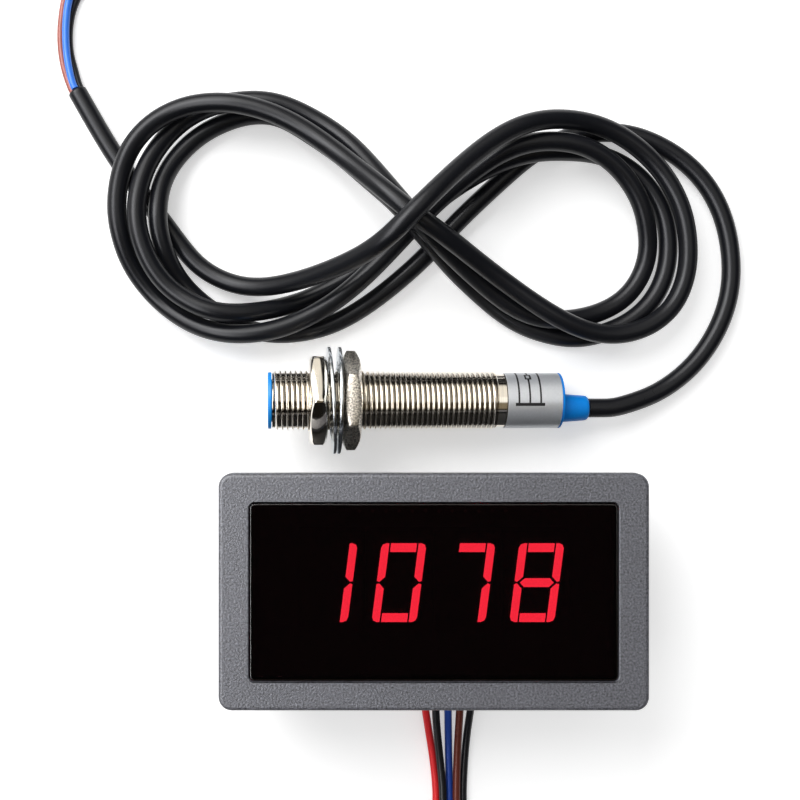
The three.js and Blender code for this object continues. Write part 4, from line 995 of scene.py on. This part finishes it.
def nut_form(start, turn, columns=144):
    """A chamfered hexagon nut from its front face, turned about the sensor's axis."""
    angle = np.linspace(0, 2 * math.pi, columns, endpoint=False)
    from_flat = (angle + math.pi / 6) % (math.pi / 3) - math.pi / 6
    hexagon = np.minimum(nut_flats / 2 / np.cos(from_flat), nut_corner - corner_cut)
    chamfer = (hexagon - nut_face) * nut_chamfer / (nut_corner - nut_face)
    half = [(nut_bore, nut_waist), (nut_bore, countersink), (nut_bore + countersink, 0),
            (nut_face - face_edge, 0), (nut_face + face_edge, face_drop),
            (hexagon - face_edge, chamfer - face_edge * 0.4), (hexagon, chamfer + face_edge)]
    section = [(start + depth, radius) for radius, depth in half]
    section += [(start + nut_thickness - depth, radius) for radius, depth in reversed(half)]
    turned = angle + math.pi / 6 + turn
    rings = [np.stack(np.broadcast_arrays(x, -r * np.sin(turned), r * np.cos(turned)), 1)
             for x, r in section]
    return loft(rings, joined=True)


washer_gap = 0.00025
washer_thickness = 0.0006
washer_radius = 0.0105
front_nut_start = 0.0071
front_tilt = math.radians(3)
rear_tilt = math.radians(-0.4)
front_washer_at = (front_nut_start + nut_thickness + washer_gap + washer_thickness / 2
                   + nut_face * math.sin(front_tilt))
rear_washer_at = (front_washer_at + washer_thickness + washer_gap
                  + washer_radius * (math.sin(front_tilt) - math.sin(rear_tilt)))
rear_nut_start = rear_washer_at + washer_thickness / 2 + washer_gap - nut_face * math.sin(rear_tilt)
for end, start, turn, finish in (("front", front_nut_start, 0.0, nickel),
                                 ("rear", rear_nut_start, math.pi / 6, satin_nickel)):
    sensor_piece(f"{end}_hex_nut", nut_form(start, turn), finish, f"{end}_nut",
                 f"{end}_nut_turn")

# %% [markdown]
# ## Lock washers
# Between the nuts lie two internal-tooth washers of zinc-plated spring steel. Their twelve teeth
# are twisted a little out of the plane, which is what bites. The ring's inner radius follows
# the teeth round the angle, and each tooth shifts its two sides to opposite faces.

# %% Washers
washer_teeth = 12
tooth_root = 0.0077
tooth_tip = 0.00635
tooth_base = 0.0081
tooth_twist = 0.0001
tooth_edge = 0.00006
tooth_shares = (0, 0.125, 0.5, 0.625, 1)
rim_edge = 0.00015
rim_cut = 0.3 * rim_edge


def washer_form(middle, tilt, columns=192):
    """A washer with twisted teeth inside, leaning by an angle about the sensor's Z."""
    angle = np.linspace(0, 2 * math.pi, columns, endpoint=False)
    share = (angle * washer_teeth / (2 * math.pi)) % 1.0
    inner = np.interp(share, tooth_shares, (tooth_root, tooth_tip, tooth_tip, tooth_root, tooth_root))
    twist = tooth_twist * np.interp(share, tooth_shares, (0, -1, 1, 0, 0))
    half = washer_thickness / 2
    outer = [(washer_radius - rim_edge, half), (washer_radius - rim_cut, half - rim_cut),
             (washer_radius, half - rim_edge)]
    section = [(radius, -x) for radius, x in outer] + outer[::-1]
    section += [(tooth_base, half), (inner + tooth_edge, half + twist),
                (inner, half - tooth_edge + twist), (inner, tooth_edge - half + twist),
                (inner + tooth_edge, twist - half), (tooth_base, -half)]
    rings = []
    for radius, x in section:
        y = radius * np.sin(angle)
        rings.append(np.stack([middle + x * math.cos(tilt) - y * math.sin(tilt),
                               x * math.sin(tilt) + y * math.cos(tilt), -radius * np.cos(angle)], 1))
    return loft(rings, joined=True)


for end, middle, tilt in (("front", front_washer_at, front_tilt), ("rear", rear_washer_at, rear_tilt)):
    sensor_piece(f"{end}_tooth_washer", washer_form(middle, tilt), zinc, f"{end}_washer",
                 f"{end}_washer_slide")

# %% [markdown]
# ## The label
# Behind the relief band a foil label is wrapped round the barrel: satin silver with a faint
# grain and rolled ends. Its only print is a plain wiring diagram, three lines that rise from a
# bar, one through a box. Unrolled, the label is a flat sheet, so the angle round the axis times
# the radius is a length on it. Every mark is a rectangle, written as its middle along and
# round the label, its width and its height, and found by two comparisons.

# %% Label
label_start = relief_end + 0.0001
label_end = barrel_end + 0.00022
label_outer = 0.0055
label_inner = 0.0053
label_edge = 0.00008
label_roll = 0.0001
line_first = label_start + 0.0021
line_pitch = 0.00215
line_width = 0.00036
line_top = 0.0078
bar = (label_start + 0.0043, -0.00076, 0.0058, 0.0006)
box = (line_first + line_pitch, 0.0055, 0.0013, 0.0017)


def printed_mark(tree, sheet, across, up, width, height):
    """Where a rectangle of ink lies on the unrolled label."""
    return all_of(tree, calculated(tree, "COMPARE", sheet[0], across, width / 2),
                  calculated(tree, "COMPARE", sheet[1], up, height / 2))


foil, tree, shader = material("satin_foil")
look = placed(tree, grain, Color=paint(212, 215, 220), Spread=0.08, Scale=2400.0, Mottle=0.05)
parts = separated(tree, on_sensor_axis(tree))
angle = calculated(tree, "ARCTAN2", parts["Y"], parts["Z"])
sheet = (parts["X"], calculated(tree, "MULTIPLY", angle, label_outer))
line_length = line_top - bar[1]
lines = [(line_first + number * line_pitch, bar[1] + line_length / 2, line_width, line_length)
         for number in range(3)]
inked = any_of(tree, *[printed_mark(tree, sheet, *mark) for mark in (bar, *lines, box)])
hollow = printed_mark(tree, sheet, *box[:2], *inset(box[2:], line_width))
ink = all_of(tree, inked, calculated(tree, "SUBTRACT", 1.0, hollow))
fed(tree, shader.inputs, {"Base Color": blended(tree, ink, look["Color"], paint(24, 25, 28)),
                          "Metallic": calculated(tree, "MULTIPLY_ADD", ink, -0.55, 0.55),
                          "Roughness": handled(tree, 0.36, 0.1, 200.0)})
profile = [(label_start, label_inner), (label_start, label_outer - label_edge),
           (label_start + label_edge, label_outer), (label_end - label_roll, label_outer),
           (label_end, label_outer - label_edge), (label_end, label_inner)]
sensor_piece("foil_label", loft(turned_rings(profile, 96), joined=True), foil, "label_sleeve")

# %% [markdown]
# ## Caps and boot
# Blue plastic closes both ends of the sensor: a flat sensing face in front, and behind a cap
# with the boot that holds the cable. Each is a turned profile with rounded edges, written from
# the axis outwards and back, and the boot's sits off the axis, over the cable.

# %% Caps and boot
cap_radius = 0.0055
spigot = 0.0041
spigot_length = 0.0045
disc_start = barrel_end + 0.0003
disc_end = barrel_end + 0.0007
cap_blue = grained("cap_blue", paint(20, 150, 240), 0.4, spread=0.06, scale=2200.0, mottle=0.05)
boot_blue = grained("boot_blue", paint(2, 136, 230), 0.42, spread=0.06, scale=2200.0, mottle=0.05,
                    Specular_IOR_Level=0.25)
profile = [(-0.00085, 0.0), (-0.00085, 0.0053), (-0.00079, 0.00544), (-0.00068, cap_radius),
           (-0.00015, cap_radius), (-0.00012, spigot), (spigot_length, spigot), (spigot_length, 0.0)]
sensor_piece("sensing_face_cap", loft(turned_rings(profile, 72)), cap_blue, "sensing_cap")

spigot_end = barrel_end - spigot_length
disc = [(spigot_end, 0.0), (spigot_end, spigot), (disc_start, spigot), (disc_start, 0.00538),
        (disc_start + 0.00008, cap_radius), (disc_end - 0.00016, cap_radius),
        (disc_end - 0.00004, 0.00542), (disc_end, 0.0052), (disc_end, 0.0)]
boot = [(disc_end - 0.0001, 0.0), (disc_end - 0.0001, 0.00305), (disc_end + 0.00015, 0.00288),
        (disc_end + 0.0005, 0.00283), (boot_end - 0.0007, 0.0025), (boot_end - 0.00035, 0.00241),
        (boot_end - 0.0001, 0.00222), (boot_end, 0.00196), (boot_end, 0.0)]
rear_form = combined([loft(turned_rings(disc, 72)), loft(turned_rings(boot, 48, boot_offset))])
sensor_piece("rear_cap_and_boot", rear_form, boot_blue, "rear_cap")

# %% [markdown]
# ## Indicator lamp
# A small round lamp sits in the rear cap beside the boot and lights when the sensor sees metal.
# It is off here: a clear red dome. The dome is a turned profile, a quarter of an ellipse.

# %% Lamp
lamp_radius = 0.001
lamp_height = 0.0005
lamp_foot = disc_end - 0.0027
lamp_offset = 0.0026
lamp_red, tree, shader = material("lamp_red", Base_Color=(0.75, 0.03, 0.03, 1),
                                  Transmission_Weight=0.7, IOR=1.5)
fed(tree, shader.inputs, {"Roughness": handled(tree, 0.12, 0.1, 900.0)})
profile = [(lamp_foot, 0.0), (lamp_foot, lamp_radius)]
profile += [(disc_end + lamp_height * math.sin(turn), lamp_radius * math.cos(turn))
            for turn in np.linspace(0, math.pi / 2, 7)]
sensor_piece("lamp_dome", loft(turned_rings(profile, 32, lamp_offset)), lamp_red,
             "indicator_lamp")

# %% [markdown]
# ## Housing, cover and clips
# The box of the meter is a black moulding. Its CAD solids have the right shape but knife-sharp
# edges. Three modifiers soften them and leave the mesh alone: Weld joins doubled points,
# Decimate makes each flat side whole, and Bevel rounds the edges in between, as a mould does.
# The same helper dresses every other CAD solid that stays.

# %% Case
def softened(name, finish, width, segments=2):
    """A CAD node with a finish of its own and rounded edges."""
    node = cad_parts[name]
    node.data.materials[0] = finish
    joined = node.modifiers.new("joined points", "WELD")
    joined.merge_threshold = 1e-6
    whole = node.modifiers.new("whole sides", "DECIMATE")
    whole.decimate_type = "DISSOLVE"
    whole.angle_limit = math.radians(2)
    soft = node.modifiers.new("round edges", "BEVEL")
    soft.width = width
    soft.segments = segments
    soft.limit_method = "ANGLE"
    soft.angle_limit = math.radians(40)
    return node


case_black = grained("case_black", paint(38, 39, 42), 0.5, spread=0.3, scale=2800.0, relief=0.00003)
for name, width in (("rear_case", 0.0003), ("rear_cover", 0.00035), ("panel_clip_left", 0.0002),
                    ("panel_clip_right", 0.0002)):
    softened(name, case_black, width)
print("case:", np.round(size_of("rear_case")[1], 4).tolist())

# %% [markdown]
# ## Circuit boards
# Green solder mask lies over copper, so tracks show as paler lines and bare pads shine. Cells
# with square outlines, from a Voronoi texture measured the chessboard way, look like poured
# copper. Folding the distance in each cell gives the tracks round it, and its middle gives a pad.
# Colour, gloss and metal all follow the same pattern, as they do on a real board.

# %% Boards
board_green, tree, shader = material("board_green", Coat_Weight=0.3)
inputs = {"Vector": object_point(tree), "Scale": 420.0, "Randomness": 0.6}
cells = add(tree, "ShaderNodeTexVoronoi", inputs, distance="CHEBYCHEV").outputs["Distance"]
track = calculated(tree, "LESS_THAN", calculated(tree, "PINGPONG", cells, 0.11), 0.04)
pad = calculated(tree, "LESS_THAN", cells, 0.07)
mask_color = placed(tree, grain, Color=paint(18, 84, 48), Spread=0.1, Scale=2000.0, Mottle=0.1)["Color"]
lined = blended(tree, track, mask_color, paint(34, 118, 66))
fed(tree, shader.inputs, {"Base Color": blended(tree, pad, lined, paint(206, 188, 150)),
                          "Metallic": pad, "Roughness": handled(tree, 0.34, 0.2, 400.0),
                          "Normal": bumped(tree, track, 0.00003, 0.6)})
for name in ("display_board", "main_board", "sensor_board"):
    softened(name, board_green, 0.00008)
print("boards:", np.round(size_of("main_board")[1], 4).tolist())

# %% [markdown]
# ## Chips and their legs
# The parts on the boards are black epoxy blocks on tinned legs. A leg is a thin strip that
# leaves the side of the block, bends down and ends in a foot on the board. That is a four-sided
# tube along four points, so a function writes one, and the legs of a chip are one piece. The
# header's straight pins are the same tubes without the bends.

# %% Chips, legs and pins
chip_black = grained("chip_black", paint(33, 33, 35), 0.45, spread=0.35, scale=6000.0, relief=0.00001)
for name in ("microcontroller", "driver_chip", "regulator", "board_header", "sensing_element"):
    softened(name, chip_black, 0.00012)
leg = 0.00016
leg_root = 0.0001
leg_shoulder = 0.0003
leg_reach = 0.0005
leg_foot = 0.0004
pin = 0.00042
pin_pitch = 0.00254
pin_ends = (0.0074, 0.0145)


def legs_of(node, pitch, counts):
    """Bent legs on the sides of a chip: how many on the sides along X and on those along Y."""
    low, size = size_of(node)
    middle = low + size / 2
    parts = []
    for axis, count in enumerate(counts):
        for side in (-1, 1):
            out = side * np.eye(3)[1 - axis]
            for number in range(count):
                start = middle + out * size[1 - axis] / 2
                start[axis] += (number - (count - 1) / 2) * pitch
                foot = start + out * leg_reach
                foot[2] = low[2] + leg
                points = [start - out * leg_root, start + out * leg_shoulder, foot, foot + out * leg_foot]
                parts.append(tube(points, leg, 4))
    piece(f"{node}_legs", combined(parts), tinned)


legs_of("microcontroller", 0.0008, (8, 8))
legs_of("driver_chip", 0.00127, (7, 0))
legs_of("regulator", 0.0015, (3, 0))
header_low, header_size = size_of("board_header")
pin_start = header_low[:2] + (pin_pitch / 2, header_size[1] / 2)
pins = [tube([(pin_start[0] + number * pin_pitch, pin_start[1], level) for level in pin_ends], pin, 4)
        for number in range(12)]
piece("header_pins", combined(pins), tinned)
print("header pins:", len(pins))

# %% [markdown]
# ## Metal cans
# The crystal sits in a drawn tin can and the capacitor in an aluminium one with a dark printed
# sleeve. The sleeve has one pale stripe along its side, and the can's flat end is bare. Where
# a point lies on the capacitor tells its finish: beyond a height across it the stripe begins,
# and past the sleeve's end the metal does.

# %% Crystal and capacitor
bare_end = 0.0002
can_metal = plated("can_metal", (0.62, 0.62, 0.6, 1), 0.28, scale=2500.0)
softened("crystal", can_metal, 0.0005, 3)
capacitor_low, capacitor_size = size_of("capacitor")
sleeve, tree, shader = material("capacitor_sleeve")
parts = separated(tree, object_point(tree))
striped = calculated(tree, "GREATER_THAN", parts["Y"], capacitor_low[1] + 0.9 * capacitor_size[1])
bare = calculated(tree, "GREATER_THAN", parts["X"], capacitor_low[0] + capacitor_size[0] - bare_end)
look = placed(tree, grain, Color=paint(28, 32, 52), Spread=0.15, Scale=2600.0, Mottle=0.1)
printed = blended(tree, striped, look["Color"], paint(178, 180, 184))
fed(tree, shader.inputs, {"Base Color": blended(tree, bare, printed, paint(198, 198, 196)),
                          "Metallic": bare, "Roughness": handled(tree, 0.35, 0.2, 500.0)})
softened("capacitor", sleeve, 0.0003, 3)
print("capacitor:", np.round(capacitor_size, 4).tolist())

# %% [markdown]
# ## Digit bodies
# Behind the films stand the digits' own blocks, moulded in dark grey with a flat matte face.

# %% Digit bodies
digit_grey = grained("digit_grey", paint(26, 26, 28), 0.7, spread=0.2, scale=3000.0)
for number in range(1, 5):
    softened(f"digit_module_{number}", digit_grey, 0.00015)
digit_starts = [size_of(f"digit_module_{number}")[0][0] for number in (1, 2)]
print("digit pitch:", round(float(digit_starts[1] - digit_starts[0]), 5))

# %% [markdown]
# ## Plug and socket
# Both are cream nylon, which lets a little light in, so its shadows look warm. The socket's five
# pins are part of its solid: the material turns to tin where a point lies as near to a pin's
# middle as half a pin, which a wrapped distance across the pitch tells. On the
# plug, each wire goes in through a small collar, a ring of the same nylon.

# %% Plug and socket
pin_half = 0.00034


def nylon(name):
    """Cream nylon."""
    return grained(name, paint(233, 228, 214), 0.42, spread=0.05, scale=1900.0, mottle=0.06,
                   relief=0.00001, Subsurface_Weight=0.15, Subsurface_Scale=0.001)


socket_nylon = nylon("socket_nylon")
tree = socket_nylon.node_tree
parts = separated(tree, object_point(tree))
aside = calculated(tree, "SUBTRACT", parts["X"], plug_middle[0])
aside = calculated(tree, "WRAP", aside, wire_pitch / 2, -wire_pitch / 2)
above = calculated(tree, "SUBTRACT", parts["Z"], plug_middle[1])
on_pin = all_of(tree, *[calculated(tree, "LESS_THAN", calculated(tree, "ABSOLUTE", off), pin_half)
                        for off in (aside, above)])
overlaid(socket_nylon, on_pin, paint(205, 200, 190))
fed(tree, tree.nodes["Principled BSDF"].inputs, {"Metallic": on_pin})
softened("wire_socket", socket_nylon, 0.0001)
plug_nylon = nylon("plug_nylon")
plug = softened("wire_plug", plug_nylon, 0.0002)
print("plug:", np.round(size_of("wire_plug")[1], 4).tolist())

# %% [markdown]
# ## Collars
# The collars are five turned rings on the plug's rear face, in one piece.

# %% Collars
collar_hole = wire_radius + 0.00006
collar_outer = wire_radius + 0.00032
collar_face = wire_radius + 0.00024
collar_columns = 24
rear_face = size_of("wire_plug")[0][1]
section = [(collar_hole, 0.0), (collar_outer, 0.0), (collar_outer, -0.00015),
           (collar_face, -0.00024), (collar_hole, -0.00024)]
turn = np.linspace(0, 2 * math.pi, collar_columns, endpoint=False)
collars = []
for x in wire_places:
    rings = [np.stack([x + r * np.cos(turn), np.full(collar_columns, rear_face + y),
                       plug_middle[1] + r * np.sin(turn)], 1) for r, y in section]
    collars.append(loft(rings, joined=True))
collar_rings = piece("wire_collars", combined(collars), plug_nylon, "wire_set")
print("collars:", rounded_size(collar_rings))

# %% [markdown]
# ## Floor
# The photograph has a plain white ground with faint shadows. The floor is a white diffuse
# plane, which keeps the shadows, and the camera, reflections and clear pieces also see a
# little light of its own from it. So its lit part is just white, and the shadows stay soft greys.

# %% Floor
floor_half = 1.5
floor_level = -0.00005
floor_glow = 0.43
corners = [(x * floor_half, y * floor_half, floor_level) for x, y in ((-1, -1), (1, -1), (1, 1), (-1, 1))]
floor_mesh = bpy.data.meshes.new("floor")
floor_mesh.from_pydata(corners, [], [(0, 1, 2, 3)])
floor = bpy.data.objects.new("floor", floor_mesh)
bpy.context.scene.collection.objects.link(floor)
floor_white, tree, shader = material("floor_white", Roughness=1.0, Specular_IOR_Level=0.0,
                                     Emission_Color=(1, 1, 1, 1))
rays = add(tree, "ShaderNodeLightPath").outputs
seen = any_of(tree, rays["Is Camera Ray"], rays["Is Glossy Ray"], rays["Is Transmission Ray"])
base = blended(tree, seen, (0.55, 0.55, 0.55, 1), (0.95, 0.95, 0.95, 1))
fed(tree, shader.inputs, {"Emission Strength": calculated(tree, "MULTIPLY", seen, floor_glow),
                          "Base Color": base})
floor.data.materials.append(floor_white)
print("floor at", floor_level, "m")

# %% [markdown]
# ## Light
# The tachometer lies in a light tent with one large soft lamp near it, at the upper left. The
# world stands for the tent. Its diffuse light is a little stronger from the lamp's side.
# Glossy rays see cards, told apart by direction: the angle towards +Y gives dark, brown,
# white and cream bands, which the nickel repeats along each thread. A white card on the left
# lights the bezel's grain, and a black one overhead keeps the lens black.

# %% World
world = bpy.data.worlds.new("light_tent")
bpy.context.scene.world = world
world.use_nodes = True
tree = world.node_tree
rays = add(tree, "ShaderNodeLightPath").outputs
direction = add(tree, "ShaderNodeTexCoord").outputs["Generated"]
parts = separated(tree, direction)
angle = calculated(tree, "ARCTAN2", parts["Y"], parts["Z"])
slope = calculated(tree, "DIVIDE", parts["X"], calculated(tree, "MAXIMUM", parts["Z"], 0.05))

dark = (0.008, 0.0075, 0.006)
brown = (0.22, 0.18, 0.12)
white = (1.2, 1.17, 1.1)
cream = (0.98, 0.94, 0.86)
stops = [(-180, dark), (-40, dark), (-33, brown), (-12, brown), (-4, white), (12, white),
         (18, cream), (74, cream), (82, dark), (180, dark)]
share = calculated(tree, "MULTIPLY_ADD", angle, 1 / (2 * math.pi), 0.5)
ramp = add(tree, "ShaderNodeValToRGB", {0: share})
bands = ramp.color_ramp.elements
while len(bands) < len(stops):
    bands.new(0.5)
for element, (degrees, color) in zip(bands, stops):
    element.position = degrees / 360 + 0.5
    element.color = (*color, 1)
print("bands:", len(bands))

# %% [markdown]
# ## Cards in the tent
# Each card is a mask of soft steps over two numbers: the angle towards +Y and the slope towards
# +X. The black card overhead and the dark side on the right are laid over the bands first,
# and the white card last. Diffuse light doesn't see them, and neither does the camera.

# %% Cards
black_card = all_of(tree, eased(tree, slope, -0.23, -0.17), eased(tree, slope, 0.23, 0.19),
                    eased(tree, angle, -0.33, -0.28), eased(tree, angle, -0.02, -0.07))
white_card = all_of(tree, eased(tree, slope, -0.25, -0.6), eased(tree, slope, -1.3, -0.9),
                    eased(tree, angle, -0.75, -0.45), eased(tree, angle, 0.8, 0.5))
dark_cards = any_of(tree, black_card, eased(tree, slope, 0.5, 0.9))
cards = blended(tree, dark_cards, ramp.outputs[0], (0.012, 0.012, 0.012, 1))
cards = blended(tree, white_card, cards, (9.2, 9.2, 9.4, 1))
lamp_side = add(tree, "ShaderNodeVectorMath", {0: direction, 1: (-0.6, 0.45, 0.66)},
                operation="DOT_PRODUCT").outputs["Value"]
even = calculated(tree, "MULTIPLY_ADD", lamp_side, 0.34, 0.38)
tent = blended(tree, rays["Is Glossy Ray"], even, cards)
seen = any_of(tree, rays["Is Camera Ray"], rays["Is Transmission Ray"])
fed(tree, tree.nodes["Background"].inputs, {"Color": blended(tree, seen, tent, (1, 1, 1, 1))})
print("nodes in the tent:", len(tree.nodes))

# %% [markdown]
# ## The soft lamp
# One round lamp of 42 cm hangs at the upper left and points at the meter. A small one would
# draw hard shadows. This one is wider than it hangs high, so they are as soft as in the photograph.

# %% Lamp over the table
lamp_data = bpy.data.lights.new("soft_lamp", "AREA")
lamp_data.shape = "DISK"
lamp_data.size = 0.42
lamp_data.energy = 2.0
lamp = bpy.data.objects.new("soft_lamp", lamp_data)
bpy.context.scene.collection.objects.link(lamp)
lamp.location = (-0.22, 0.33, 0.36)
lamp.rotation_euler = (-lamp.location).to_track_quat("-Z", "Y").to_euler()
print("lamp:", lamp_data.energy, "W at", np.round(lamp.location, 2).tolist())

# %% [markdown]
# ## The view transform
# The plain view transform keeps colours as written.

# %% Finish
bpy.context.scene.view_settings.view_transform = "Standard"
